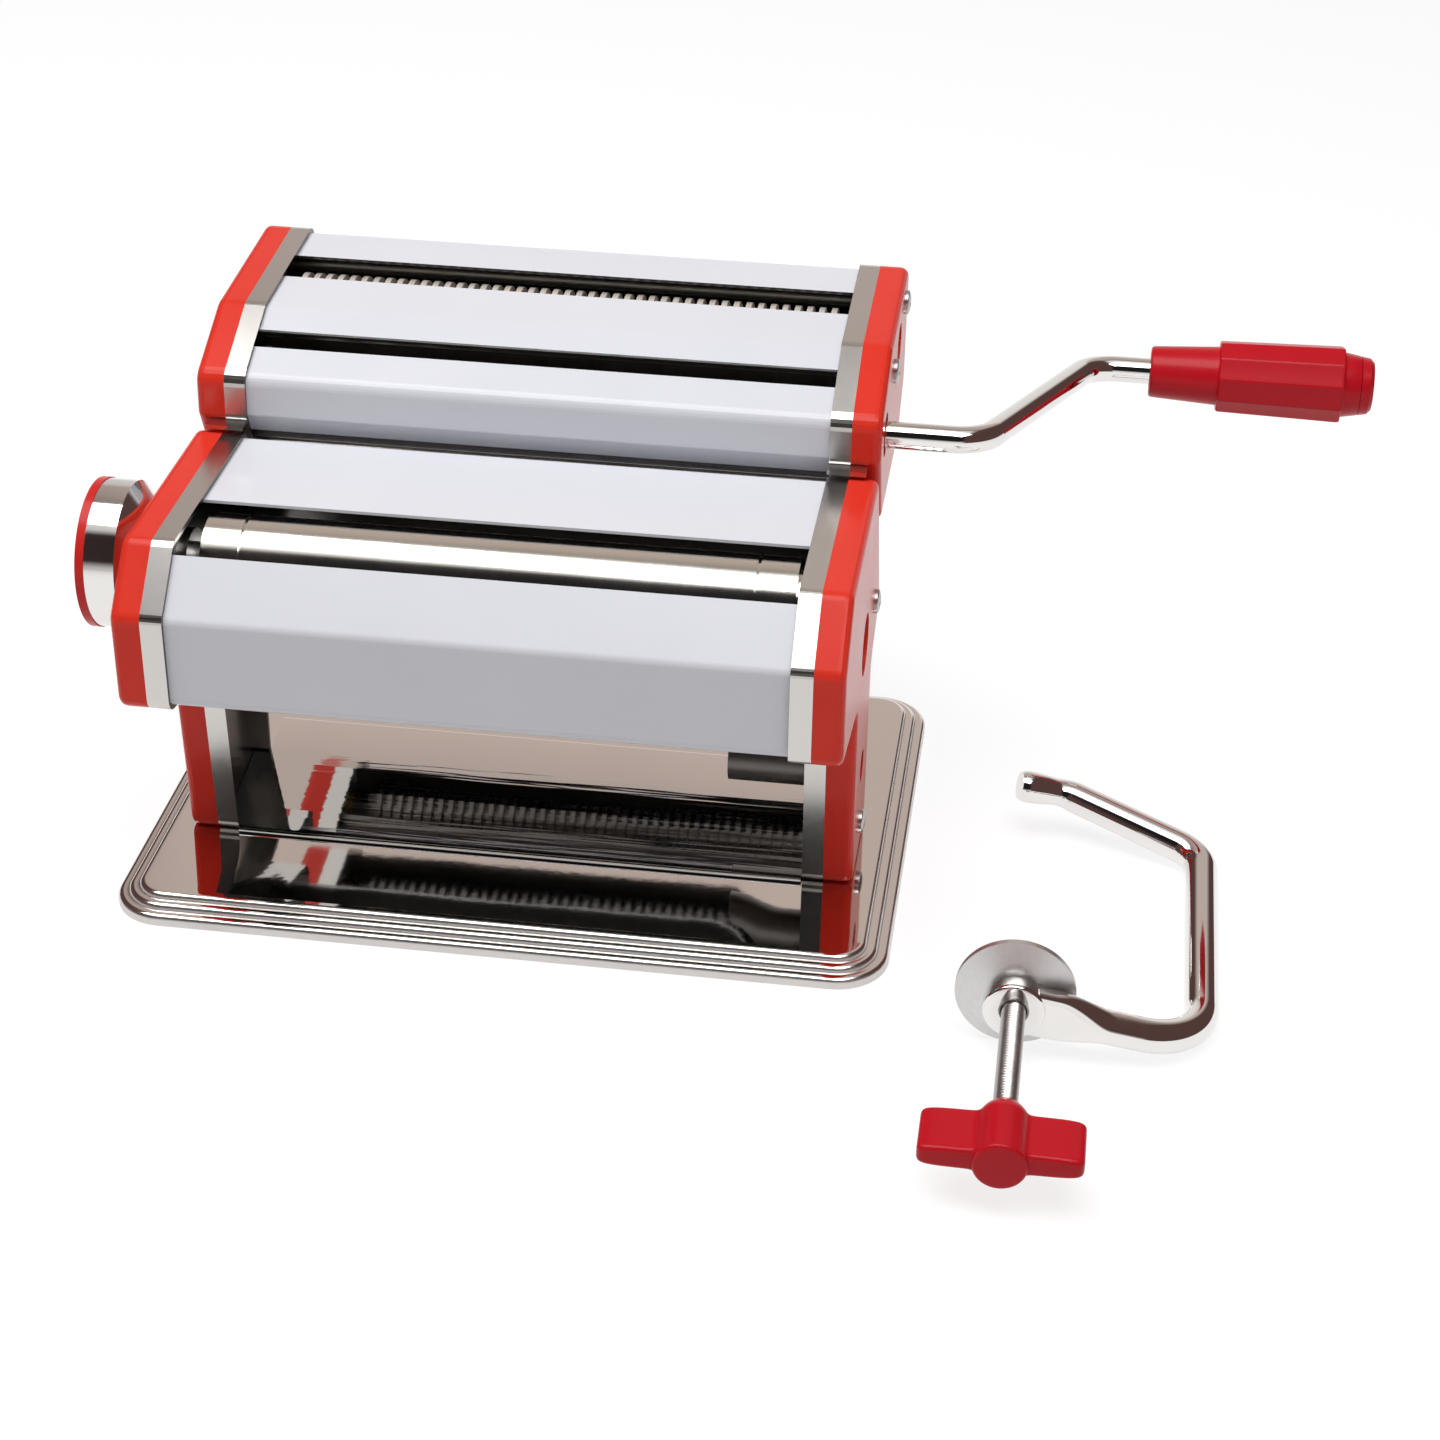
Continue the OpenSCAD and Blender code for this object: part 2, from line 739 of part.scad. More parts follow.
module front_roller_gear() {
    color(steel) place(front_axis) difference() {
        main_gear(-pair_tilt + 180 / main_teeth);
        bar_x(gear_x - 1, gear_x + 2 + run_fit, main_journal_d + 2 * run_fit);
        bar_x(gear_x + 1, cover_out, gear_recess_d);
    }
}

// Regulator

module regulator_shaft() {
    eccentric_from = -roller_half - 1;
    eccentric_to = cover_in - boss_len - pass_gap;
    color(steel) {
        place(front_axis) bar_x(eccentric_from, eccentric_to, eccentric_d);
        place(regulator_axis) bar_x(-retainer_in, eccentric_from, shaft_d);
        place(regulator_axis) bar_x(eccentric_to, cover_in + pass_gap / 2, shaft_d);
    }
}

module knob_retainer() {
    color(steel) place(regulator_axis) bar_x(-retainer_in - retainer_t, -retainer_in, knob_cavity_d - 4);
}

module regulator_knob() {
    color(chrome) place(regulator_axis) mirror([1, 0, 0]) difference() {
        union() {
            along_x(knob_base) cylinder(h = knob_neck, d1 = knob_d - 10, d2 = knob_d);
            bar_x(knob_shoulder, knob_end, knob_d);
        }
        bar_x(knob_base - 1, knob_end, shaft_d + 2 * run_fit);
        bar_x(knob_base + knob_floor, knob_end + 1, knob_cavity_d);
        along_x(knob_base - 1) rotate(90) translate([pin_ring_r, 0, 0]) cylinder(h = knob_floor + 0.5, d = pin_d);
    }
}

module knob_cap() {
    color(red) place(regulator_axis) mirror([1, 0, 0]) bar_x(knob_end, knob_end + knob_cap_t, knob_d + 0.4);
}

module knob_pin() {
    pin_from = cover_in + pass_gap / 2;
    color(steel) place(regulator_axis) mirror([1, 0, 0]) along_x(pin_from) rotate(90)
        translate([pin_ring_r, 0, 0]) cylinder(h = knob_base + knob_floor - 0.5 - pin_from, d = pin_d);
}

// Coil between the knob's floor and the retainer, one unbroken tube along X
module knob_spring() {
    wire_d = 0.9;
    coil_r = (shaft_d + wire_d) / 2 + 2 * pass_gap;
    turns = 4;
    rings_per_turn = 16;
    sides = 6;
    from = knob_base + knob_floor + wire_d / 2;
    to = retainer_in - wire_d / 2;
    rings = turns * rings_per_turn;
    loops = [for (k = [0:rings]) [for (s = [0:sides - 1])
        let (
            turn = 360 * k / rings_per_turn,
            r = coil_r + wire_d / 2 * cos(360 * s / sides)
        )
        [from + (to - from) * k / rings + wire_d / 2 * sin(360 * s / sides), r * cos(turn), r * sin(turn)]]];
    color(steel) place(regulator_axis) mirror([1, 0, 0]) skin(loops);
}

// Cutter unit

// Small ear folded out of the band under the cutter's nose, which shows between the two units
module nose_ear() {
    ear_reach = 4;
    ear_side = 4.5;
    ear_drop = 2;
    translate([band_in, cutter_nose[0] - ear_reach, cutter_nose[1] - ear_drop]) {
        cube([band_w + ear_side, ear_reach, plate_t]);
        cube([band_w, ear_reach + plate_t, plate_t]);
    }
}

module cutter_left_plate() {
    color(chrome) mirror([1, 0, 0]) {
        difference() {
            flanged_plate(cutter_outline);
            for (axis = [wide_axis, wide_idle_axis, narrow_axis, narrow_idle_axis])
                place(axis) bar_x(web_in - 1, plate_out + 1, bush_hole(cutter_left_d));
        }
        nose_ear();
    }
}

module cutter_right_plate() {
    color(chrome) {
        difference() {
            flanged_plate(cutter_outline);
            for (axis = [wide_axis, wide_idle_axis, narrow_axis, narrow_idle_axis])
                place(axis) bar_x(web_in - 1, plate_out + 1, bush_hole(cutter_journal_d));
        }
        nose_ear();
    }
}

cutter_window_d = cutter_journal_d + 2 * pass_gap;
cutter_screw_axes = [[36, 124], [66, 131]];

module cutter_left_cover() {
    color(red) mirror([1, 0, 0]) difference() {
        cover_shell(cutter_outline);
        screw_holes(cutter_screw_axes);
    }
}

module cutter_right_cover() {
    color(red) difference() {
        cover_shell(cutter_outline);
        for (axis = [wide_axis, narrow_axis]) place(axis) bar_x(cover_in - 1, cover_out + 1, cutter_window_d);
        screw_holes(cutter_screw_axes);
    }
}

module cutter_screws() {
    color(steel) on_both_sides() for (axis = cutter_screw_axes) cover_screw(axis);
}

module cutter_front_guard() {
    color(white) guard(cutter_outline,
        [[-far, cutter_nose[1] - 5], [wide_slot[0], cutter_nose[1] - 5], [wide_slot[0], far], [-far, far]]);
}

module cutter_middle_guard() {
    middle_z = (cutter_nose[1] + cutter_fold[1]) / 2;
    color(white) guard(cutter_outline,
        [[wide_slot[1], middle_z], [narrow_slot[0], middle_z], [narrow_slot[0], far], [wide_slot[1], far]]);
}

module cutter_rear_guard() {
    color(white) guard(cutter_outline,
        [[narrow_slot[1], narrow_z], [cutter_back - 5, cutter_foot[1] + 8], [far, cutter_foot[1] + 8],
         [far, far], [narrow_slot[1], far]]);
}

cutter_tie_axes = concat(cutter_screw_axes, [[43, 98]]);

module cutter_tie_rods() {
    color(steel) for (axis = cutter_tie_axes) place(axis) bar_x(-web_in, web_in, tie_d - 1);
}

module cutter_bushes() {
    color(brass) for (axis = [wide_axis, wide_idle_axis, narrow_axis, narrow_idle_axis]) place(axis) {
        bush(cutter_journal_d, cutter_bush_lip);
        mirror([1, 0, 0]) bush(cutter_left_d, cutter_bush_lip);
    }
}

module hanger_plate() {
    plate_at = rail_h + hanger_gap;
    color(chrome) on_back() {
        translate([-web_in, hanger_from, plate_at]) cube([2 * web_in, hanger_to - hanger_from, hanger_t]);
        for (side = [-1, 1]) translate([side * rail_x, 0, 0]) {
            length = rail_to - rail_stop - pass_gap - hanger_from;
            translate([-hook_w / 2, hanger_from, hook_floor + pass_gap]) cube([hook_w, length, hook_h]);
            translate([-neck_w / 2, hanger_from, hook_floor + pass_gap])
                cube([neck_w, length, plate_at + hanger_t - hook_floor - pass_gap]);
        }
    }
}

// Cutter rollers: discs and grooves that mesh with their partner's

shear_gap = 0.12;
core_d = cutter_d - 2 * groove_depth;

// Places along X of a roller's discs; the partner's discs stand in between
function disc_places(strip, shifted) =
    let (last = floor((roller_half / strip + (shifted ? 0.5 : -0.5)) / 2))
    shifted ? [for (k = [-last:last - 1]) (2 * k + 1) * strip] : [for (k = [-last:last]) 2 * k * strip];

module disc_roller(strip, shifted) {
    disc_w = strip - shear_gap;
    places = disc_places(strip, shifted);
    along_x() rotate_extrude($fn = 96) polygon(concat(
        [[0, -roller_half], [core_d / 2, -roller_half]],
        [for (x = places) each [
            [core_d / 2, x - disc_w / 2], [cutter_d / 2, x - disc_w / 2],
            [cutter_d / 2, x + disc_w / 2], [core_d / 2, x + disc_w / 2]]],
        [[core_d / 2, roller_half], [0, roller_half]]));
}

module cutter_roller(axis, strip, shifted, driven) {
    right_end = driven ? journal_end : cover_in - gear_gap / 2;
    color(steel) place(axis) difference() {
        union() {
            disc_roller(strip, shifted);
            bar_x(-web_in + bush_flange - bush_len, -roller_half, cutter_left_d);
            bar_x(roller_half, right_end, cutter_journal_d);
        }
        if (driven) drive_socket();
    }
}

module cutter_gear(axis, first_tooth) {
    color(steel) place(axis) difference() {
        along_x(gear_x) rotate(first_tooth) linear_extrude(gear_w)
            gear_outline(cutter_teeth, cutter_pitch_r, cutter_tip_r, cutter_root_r, cutter_tooth_t);
        bar_x(gear_x - 1, cover_out, cutter_journal_d + 2 * run_fit);
    }
}

module wide_drive_roller() { cutter_roller(wide_axis, wide_strip, false, true); }
module wide_idle_roller() { cutter_roller(wide_idle_axis, wide_strip, true, false); }
module narrow_drive_roller() { cutter_roller(narrow_axis, narrow_strip, false, true); }
module narrow_idle_roller() { cutter_roller(narrow_idle_axis, narrow_strip, true, false); }
module wide_drive_gear() { cutter_gear(wide_axis, -cutter_tilt); }
module wide_idle_gear() { cutter_gear(wide_idle_axis, 180 - cutter_tilt + 180 / cutter_teeth); }
module narrow_drive_gear() { cutter_gear(narrow_axis, -cutter_tilt); }
module narrow_idle_gear() { cutter_gear(narrow_idle_axis, 180 - cutter_tilt + 180 / cutter_teeth); }

// Comb whose fingers reach into a roller's grooves at an angle round its axis
module stripping_comb(axis, strip, shifted, angle) {
    comb_t = 0.8;
    bar_from = cutter_d / 2 + 2 * pass_gap;
    bar_to = bar_from + 3.2;
    finger_from = core_d / 2 + pass_gap;
    finger_w = strip + shear_gap - 2 * pass_gap;
    color(steel) place(axis) rotate([angle, 0, 0]) translate([0, 0, -comb_t / 2]) linear_extrude(comb_t) {
        translate([-web_in, bar_from]) square([2 * web_in, bar_to - bar_from]);
        for (x = disc_places(strip, !shifted))
            translate([x - finger_w / 2, finger_from]) square([finger_w, bar_from - finger_from + 0.1]);
    }
}

front_comb_angle = 240;
rear_comb_angle = 215;
module wide_front_comb() { stripping_comb(wide_axis, wide_strip, false, front_comb_angle); }
module wide_rear_comb() { stripping_comb(wide_idle_axis, wide_strip, true, rear_comb_angle); }
module narrow_front_comb() { stripping_comb(narrow_axis, narrow_strip, false, front_comb_angle); }
module narrow_rear_comb() { stripping_comb(narrow_idle_axis, narrow_strip, true, rear_comb_angle); }

// Crank: drawn in its own plane with X along the shaft and Y along the arm

crank_bend_x = cover_out + crank_shaft_len;
grip_x = crank_bend_x + crank_arm_run + 16.6;
grip_end = grip_x + grip_len;
grip_plug_len = 3.4;
crank_head_t = 1.5;
crank_head_d = crank_d + 2.6;
crank_end = grip_end - grip_plug_len - pass_gap;

module crank_plane() {
    place(wide_axis) rotate([crank_angle, 0, 0]) children();
}

module crank_rod() {
    tip = journal_end - socket_depth;
    color(chrome) crank_plane() {
        difference() {
            bent_rod(
                [[tip - tang_len, 0], [crank_bend_x, 0], [crank_bend_x + crank_arm_run, crank_r],
                 [crank_end, crank_r]],
                [crank_bend_r, crank_bend_r], crank_d);
            for (side = [-1, 1]) rotate([-crank_angle, 0, 0])
                translate([tip - tang_len - 1, side * (tang_t + crank_d) / 2 - crank_d / 2, -crank_d])
                    cube([tang_len + 1, crank_d, 2 * crank_d]);
        }
        translate([crank_end - crank_head_t, crank_r, 0]) rotate([0, 90, 0])
            cylinder(h = crank_head_t, d = crank_head_d);
    }
}

grip_waist = 18.8;
grip_tail = 8.2;

module crank_grip() {
    small_d = 0.66 * grip_d;
    flutes = 12;
    flute_d = 5;
    flute_depth = 0.7;
    body_len = grip_len - grip_plug_len;
    bore_d = crank_d + 4 * run_fit;
    color(red) crank_plane() translate([grip_x, crank_r, 0]) rotate([0, 90, 0]) difference() {
        union() {
            rotate_extrude() polygon([
                [0, 0], [small_d / 2 - 0.8, 0], [small_d / 2, 0.8], [small_d / 2 + 1, grip_waist],
                [small_d / 2 + 1, grip_len - grip_tail], [grip_d / 2 - 1.8, grip_len - grip_tail],
                [grip_d / 2 - 2.6, body_len], [0, body_len]]);
            translate([0, 0, grip_waist]) linear_extrude(grip_len - grip_tail - grip_waist) difference() {
                circle(d = grip_d);
                for (k = [0:flutes - 1]) rotate(k * 360 / flutes)
                    translate([grip_d / 2 + flute_d / 2 - flute_depth, 0]) circle(d = flute_d, $fn = 24);
            }
        }
        translate([0, 0, -1]) cylinder(h = grip_len, d = bore_d);
        translate([0, 0, body_len - crank_head_t - 2 * pass_gap])
            cylinder(h = grip_len, d = crank_head_d + 2 * pass_gap);
    }
}

module grip_plug() {
    plug_d = grip_d - 5.2;
    color(red) crank_plane() translate([grip_end - grip_plug_len, crank_r, 0]) rotate([0, 90, 0])
        rotate_extrude() polygon([[0, 0], [plug_d / 2, 0], [plug_d / 2 - 0.4, grip_plug_len - 1],
            [plug_d / 2 - 1.4, grip_plug_len], [0, grip_plug_len]]);
}

// Table clamp: it lies with its back on the table and its pad's rim propping up the eye

clamp_axis_z = pad_d / 2;
clamp_roll = asin((clamp_axis_z - clamp_d / 2) / clamp_throat);

// X runs from the screw to the clamp's back, Y along the screw towards the jaw
module clamp_plane() {
    translate([clamp_x, -clamp_y, clamp_axis_z]) rotate([0, clamp_roll, 0]) children();
}

eye_d = 2.6 * screw_d;
eye_t = 5;
jaw_tip = [-4, clamp_back + 15];
jaw_kink = [9, clamp_back + 17.5];
jaw_corner = [clamp_throat, clamp_back + 5];
heel_corner = [clamp_throat, 5];

module clamp_frame() {
    color(chrome) clamp_plane() difference() {
        union() {
            bent_rod([jaw_tip, jaw_kink, jaw_corner, heel_corner, [0, 0]], [10, 10, 17], clamp_d);
            rotate([-90, 0, 0]) translate([0, 0, -eye_t / 2]) cylinder(h = eye_t, d = eye_d);
        }
        rotate([-90, 0, 0]) translate([0, 0, -eye_d]) cylinder(h = 2 * eye_d, d = screw_d + 4 * run_fit);
        for (side = [-1, 1]) translate([-eye_d, side * (eye_t / 2 + eye_d / 2) - eye_d / 2, -eye_d])
            cube([eye_d + pad_d / 2 + 1, eye_d, 2 * eye_d]);
    }
}

pad_from = eye_t / 2 + 2 * pass_gap;
pad_h = 4.2;
screw_tip_d = screw_d - 1.4;

module clamp_pad() {
    dish_t = 1.6;
    color(chrome) clamp_plane() translate([0, pad_from, 0]) rotate([-90, 0, 0]) difference() {
        rotate_extrude() polygon([
            [0, 0], [screw_d / 2 + 1.5, 0], [pad_d / 2, pad_h - dish_t],
            [pad_d / 2, pad_h], [pad_d / 2 - 1.2, pad_h], [screw_d / 2 + 1.5, dish_t + 0.8], [0, dish_t + 0.8]]);
        translate([0, 0, -1]) cylinder(h = 2 * pad_h, d = screw_tip_d + 2 * run_fit);
    }
}

hub_tip = -eye_t / 2 - screw_free;
hub_cone = 6;
hub_len = 21;

module clamp_screw() {
    tip_len = 2.2;
    color(steel) clamp_plane() rotate([90, 0, 0]) translate([0, 0, -pad_from + run_fit]) {
        cylinder(h = pad_from - run_fit - hub_tip + hub_cone, d = screw_d);
        translate([0, 0, -tip_len]) cylinder(h = tip_len + 0.1, d = screw_tip_d);
    }
}

module clamp_wing() {
    hub_d = 13;
    wing_l = 15.5;
    wing_t = 6;
    edge_r = 2;
    color(red) clamp_plane() rotate([0, -clamp_roll, 0]) translate([0, hub_tip, 0]) difference() {
        union() {
            rotate([90, 0, 0]) {
                cylinder(h = hub_cone, d1 = screw_d + 2, d2 = hub_d);
                translate([0, 0, hub_cone]) cylinder(h = hub_len - hub_cone, d = hub_d);
            }
            translate([0, -hub_cone + 2 - wing_l / 2, -wing_t / 2]) linear_extrude(wing_t)
                rounded_sheet(wing_w, wing_l, edge_r);
        }
        rotate([90, 0, 0]) translate([0, 0, -1]) cylinder(h = hub_cone + 1, d = screw_d + 2 * run_fit);
    }
}

base_plate();
rubber_feet();
left_side_plate();
right_side_plate();
left_side_cover();
right_side_cover();
front_guard();
rear_guard();
tie_rods();
front_scraper();
rear_scraper();
main_bushes();
cutter_rails();
clamp_socket();
cover_screws();
rear_roller();
rear_roller_gear();
front_roller();
front_roller_gear();
roller_sleeves();
regulator_shaft();
knob_retainer();
regulator_knob();
knob_cap();
knob_pin();
knob_spring();
cutter_left_plate();
cutter_right_plate();
cutter_left_cover();
cutter_right_cover();
cutter_front_guard();
cutter_middle_guard();
cutter_rear_guard();
cutter_tie_rods();
cutter_bushes();
cutter_screws();
hanger_plate();
wide_front_comb();
wide_rear_comb();
narrow_front_comb();
narrow_rear_comb();
wide_drive_roller();
wide_drive_gear();
wide_idle_roller();
wide_idle_gear();
narrow_drive_roller();
narrow_drive_gear();
narrow_idle_roller();
narrow_idle_gear();
crank_rod();
crank_grip();
grip_plug();
clamp_frame();
clamp_pad();
clamp_screw();
clamp_wing();
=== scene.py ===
import math

import bmesh
import bpy
import numpy as np
from mathutils import Matrix, Vector


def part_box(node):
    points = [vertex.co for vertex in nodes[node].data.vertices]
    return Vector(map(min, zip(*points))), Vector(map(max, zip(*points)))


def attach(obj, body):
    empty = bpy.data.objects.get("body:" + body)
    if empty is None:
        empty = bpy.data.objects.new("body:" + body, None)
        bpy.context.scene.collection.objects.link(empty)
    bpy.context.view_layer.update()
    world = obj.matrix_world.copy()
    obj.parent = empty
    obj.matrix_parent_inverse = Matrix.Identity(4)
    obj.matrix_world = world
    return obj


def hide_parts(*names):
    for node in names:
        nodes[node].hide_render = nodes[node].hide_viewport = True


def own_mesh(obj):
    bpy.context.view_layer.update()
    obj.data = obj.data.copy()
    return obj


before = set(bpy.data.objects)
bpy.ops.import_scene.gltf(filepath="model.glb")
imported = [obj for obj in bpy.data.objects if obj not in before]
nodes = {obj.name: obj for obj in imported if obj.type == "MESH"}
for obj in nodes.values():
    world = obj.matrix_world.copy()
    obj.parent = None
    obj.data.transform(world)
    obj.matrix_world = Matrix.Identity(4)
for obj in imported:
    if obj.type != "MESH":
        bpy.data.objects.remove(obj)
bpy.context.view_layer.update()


# The photographer's stand: a long lens on a tripod in front of the machine, a little to its right.
# It looks down at about thirty degrees, and is level but for a slight tilt to one side.
camera_place = (0.1392, -0.6686, 0.4437)
camera_turn = math.radians(7.6)
camera_dip = math.radians(31.3)
camera_tilt = math.radians(0.86)
camera_data = bpy.data.cameras.new("camera")
camera_data.sensor_width = 36.0
camera_data.lens = 72.6
camera = bpy.data.objects.new("camera", camera_data)
turn = Matrix.Rotation(camera_turn, 4, "Z")
nod = Matrix.Rotation(math.pi / 2 - camera_dip, 4, "X")
roll = Matrix.Rotation(camera_tilt, 4, "Z")
camera.matrix_world = Matrix.Translation(camera_place) @ turn @ nod @ roll
scene = bpy.context.scene
scene.collection.objects.link(camera)
scene.camera = camera
scene.view_settings.view_transform = "Standard"


# The room: a white paper sweep on the floor under one broad overhead softbox.
# Polished metal also mirrors what stands round the sweep: a warm wall behind it and a dark room
# behind the photographer. The camera itself sees plain white, and the sweep keeps a soft shadow.
class Socket:
    """One output of a shader node. Arithmetic on it adds Math nodes to the same tree."""

    def __init__(self, tree, output):
        self.tree = tree
        self.output = output

    @classmethod
    def node(cls, tree, kind, settings, sockets, output=0):
        """Adds a node: its settings first, then a value or a link for each named socket."""
        made = tree.nodes.new(kind)
        for name, value in settings.items():
            if name == "stops":
                ramp = made.color_ramp.elements
                while len(ramp) < len(value):
                    ramp.new(1.0)
                for stop, (place, colour) in zip(ramp, value):
                    stop.position = place
                    stop.color = (*colour, 1.0)
            else:
                setattr(made, name, value)
        for name, value in sockets.items():
            if isinstance(value, cls):
                tree.links.new(value.output, made.inputs[name])
            else:
                made.inputs[name].default_value = value
        return cls(tree, made.outputs[output])

    def math(self, operation, other, swapped=False):
        """A Math node on this value and another, in either order."""
        pair = (other, self) if swapped else (self, other)
        return self.node(self.tree, "ShaderNodeMath", {"operation": operation}, dict(enumerate(pair)))

    def __add__(self, other):
        return self.math("ADD", other)

    def __sub__(self, other):
        return self.math("SUBTRACT", other)

    def __rsub__(self, other):
        return self.math("SUBTRACT", other, swapped=True)

    def __mul__(self, other):
        return self.math("MULTIPLY", other)

    __radd__ = __add__
    __rmul__ = __mul__


def part_along(vector, axis):
    """The X, Y or Z part of a vector."""
    return Socket.node(vector.tree, "ShaderNodeSeparateXYZ", {}, {"Vector": vector}, axis)


side_dark_from = 0.28
side_dark_to = 0.44
side_dark = (0.10, 0.055, 0.05, 1)
ambient_share = 0.20
room = bpy.data.worlds.new("room")
room.use_nodes = True
scene.world = room
air = room.node_tree
air.nodes.clear()
seen = Socket.node(air, "ShaderNodeLightPath", {}, {}, "Is Camera Ray")
mirrored = Socket.node(air, "ShaderNodeLightPath", {}, {}, "Is Glossy Ray")
heading = Socket.node(air, "ShaderNodeTexCoord", {}, {}, "Generated")
sideways = part_along(heading, "X").math("ABSOLUTE", 0.0)
over = part_along(heading, "Z").math("ARCTAN2", part_along(heading, "Y")) * (1 / math.pi)
front_to_back = Socket.node(air, "ShaderNodeValToRGB", {"stops": [
    (0.00, (0.92, 0.91, 0.90)), (0.12, (0.86, 0.83, 0.80)), (0.165, (0.60, 0.505, 0.455)),
    (0.30, (0.52, 0.44, 0.395)), (0.40, (0.32, 0.28, 0.255)), (0.44, (0.95, 0.95, 0.95)),
    (0.655, (0.95, 0.95, 0.95)), (0.70, (0.012, 0.012, 0.013)), (0.93, (0.015, 0.015, 0.015)),
    (0.985, (0.80, 0.79, 0.78))]}, {"Fac": over})
aside = Socket.node(air, "ShaderNodeMapRange", {}, {
    "Value": sideways, "From Min": side_dark_from, "From Max": side_dark_to})
surroundings = Socket.node(air, "ShaderNodeMix", {"data_type": "RGBA"}, {
    0: aside, 6: front_to_back, 7: side_dark}, 2)
ambient = Socket.node(air, "ShaderNodeBackground", {}, {"Color": front_to_back, "Strength": ambient_share})
paper_white = Socket.node(air, "ShaderNodeBackground", {}, {"Color": (1, 1, 1, 1), "Strength": 1.0})
round_about = Socket.node(air, "ShaderNodeBackground", {}, {"Color": surroundings, "Strength": 1.0})
soft = Socket.node(air, "ShaderNodeMixShader", {}, {0: mirrored, 1: ambient, 2: round_about})
whole = Socket.node(air, "ShaderNodeMixShader", {}, {0: seen, 1: soft, 2: paper_white})
room_out = air.nodes.new("ShaderNodeOutputWorld")
air.links.new(whole.output, room_out.inputs["Surface"])

sweep_half = 3.0
sweep_z = -0.0002
glow_share = 0.66
glow_strength = 1.25
sweep_mesh = bpy.data.meshes.new("paper_sweep")
sweep_mesh.from_pydata([(-sweep_half, -sweep_half, sweep_z), (sweep_half, -sweep_half, sweep_z),
                        (sweep_half, sweep_half, sweep_z), (-sweep_half, sweep_half, sweep_z)],
                       [], [(0, 1, 2, 3)])
sweep = bpy.data.objects.new("paper_sweep", sweep_mesh)
scene.collection.objects.link(sweep)
paper = bpy.data.materials.new("sweep_paper")
paper.use_nodes = True
tree = paper.node_tree
tree.nodes.clear()
looked_at = (Socket.node(tree, "ShaderNodeLightPath", {}, {}, "Is Camera Ray")
             + Socket.node(tree, "ShaderNodeLightPath", {}, {}, "Is Glossy Ray"))
matt = Socket.node(tree, "ShaderNodeBsdfDiffuse", {}, {"Color": (0.80, 0.80, 0.80, 1)})
glow = Socket.node(tree, "ShaderNodeEmission", {}, {"Color": (1, 1, 1, 1), "Strength": glow_strength})
paper_out = tree.nodes.new("ShaderNodeOutputMaterial")
both = Socket.node(tree, "ShaderNodeMixShader", {}, {0: looked_at * glow_share, 1: matt, 2: glow})
tree.links.new(both.output, paper_out.inputs["Surface"])
sweep_mesh.materials.append(paper)

lamp_place = Vector((-0.10, -0.25, 1.30))
lamp_aim = Vector((0.02, 0.0, 0.05))
lamp_data = bpy.data.lights.new("overhead_box", "AREA")
lamp_data.shape = "RECTANGLE"
lamp_data.size = 1.6
lamp_data.size_y = 0.72
lamp_data.energy = 18.0
lamp = bpy.data.objects.new("overhead_box", lamp_data)
lamp_turn = (lamp_aim - lamp_place).to_track_quat("-Z", "Y")
lamp.matrix_world = Matrix.Translation(lamp_place) @ lamp_turn.to_matrix().to_4x4()
scene.collection.objects.link(lamp)


# Base plate: a thin steel sheet pressed into a stepped rim, polished and chromed all over.
# It is one pressing, and the legs of the side plates stand on its flat top.
def finish(name, **fixed):
    """A material with a Principled shader; the sockets that are the same all over are set here."""
    material = bpy.data.materials.new(name)
    material.use_nodes = True
    shader = material.node_tree.nodes["Principled BSDF"]
    for socket, value in fixed.items():
        shader.inputs[socket.replace("_", " ")].default_value = value
    return material, material.node_tree, shader


def feed(tree, shader, **varied):
    """Links what changes over the surface to the shader's sockets."""
    for socket, value in varied.items():
        tree.links.new(value.output, shader.inputs[socket.replace("_", " ")])


def noise(tree, scale, detail=2.0, stretch=(1, 1, 1)):
    """Clouds on the piece's own coordinates, drawn out along an axis by a stretch below 1."""
    place = Socket.node(tree, "ShaderNodeTexCoord", {}, {}, "Object")
    spread = Socket.node(tree, "ShaderNodeMapping", {}, {"Vector": place, "Scale": stretch})
    return Socket.node(tree, "ShaderNodeTexNoise", {},
                       {"Vector": spread, "Scale": scale, "Detail": detail}, "Fac")


def blend_colours(tree, share, first, second):
    """Mixes two colours, each one fixed or itself varied, by a share that changes over the surface."""
    ends = [colour if isinstance(colour, Socket) else (*colour, 1) for colour in (first, second)]
    return Socket.node(tree, "ShaderNodeMix", {"data_type": "RGBA"}, {0: share, 6: ends[0], 7: ends[1]}, 2)


def bump(tree, surface, strength, depth):
    """Turns a height over the surface into a shading normal."""
    return Socket.node(tree, "ShaderNodeBump", {},
                       {"Height": surface, "Strength": strength, "Distance": depth})


# Near black that stands in for shade on faces deep inside the machine.
shade_black = (0.02, 0.02, 0.02)


def chrome_plate(name, tint, dull, smear, ripple, grain=(1, 1, 1), streak=0.06, edge_dull=0.0, web_shade=0.0):
    """Polished plating: hand smears, a wavy sheet, less gloss off the level, and upright faces painted darker
    as shade.
    """
    material, tree, shader = finish(name, Metallic=1.0)
    cloud = noise(tree, scale=24, detail=4)
    lines = noise(tree, scale=420, stretch=grain)
    waves = noise(tree, scale=30, detail=1)
    facing = Socket.node(tree, "ShaderNodeTexCoord", {}, {}, "Normal")
    level = part_along(facing, "Z").math("ABSOLUTE", 0.0)
    upright = part_along(facing, "X").math("ABSOLUTE", 0.0)
    darker = tuple(0.9 * c for c in tint)
    plated = blend_colours(tree, cloud, darker, tint)
    feed(tree, shader,
         # Upright faces, those facing along X, blend towards near black: painted shade for the webs.
         Base_Color=blend_colours(tree, web_shade * upright, plated, shade_black),
         Roughness=dull + smear * cloud + 0.5 * smear * lines + edge_dull * (1 - level),
         Normal=bump(tree, waves + streak * lines, strength=ripple, depth=0.0008))
    return material


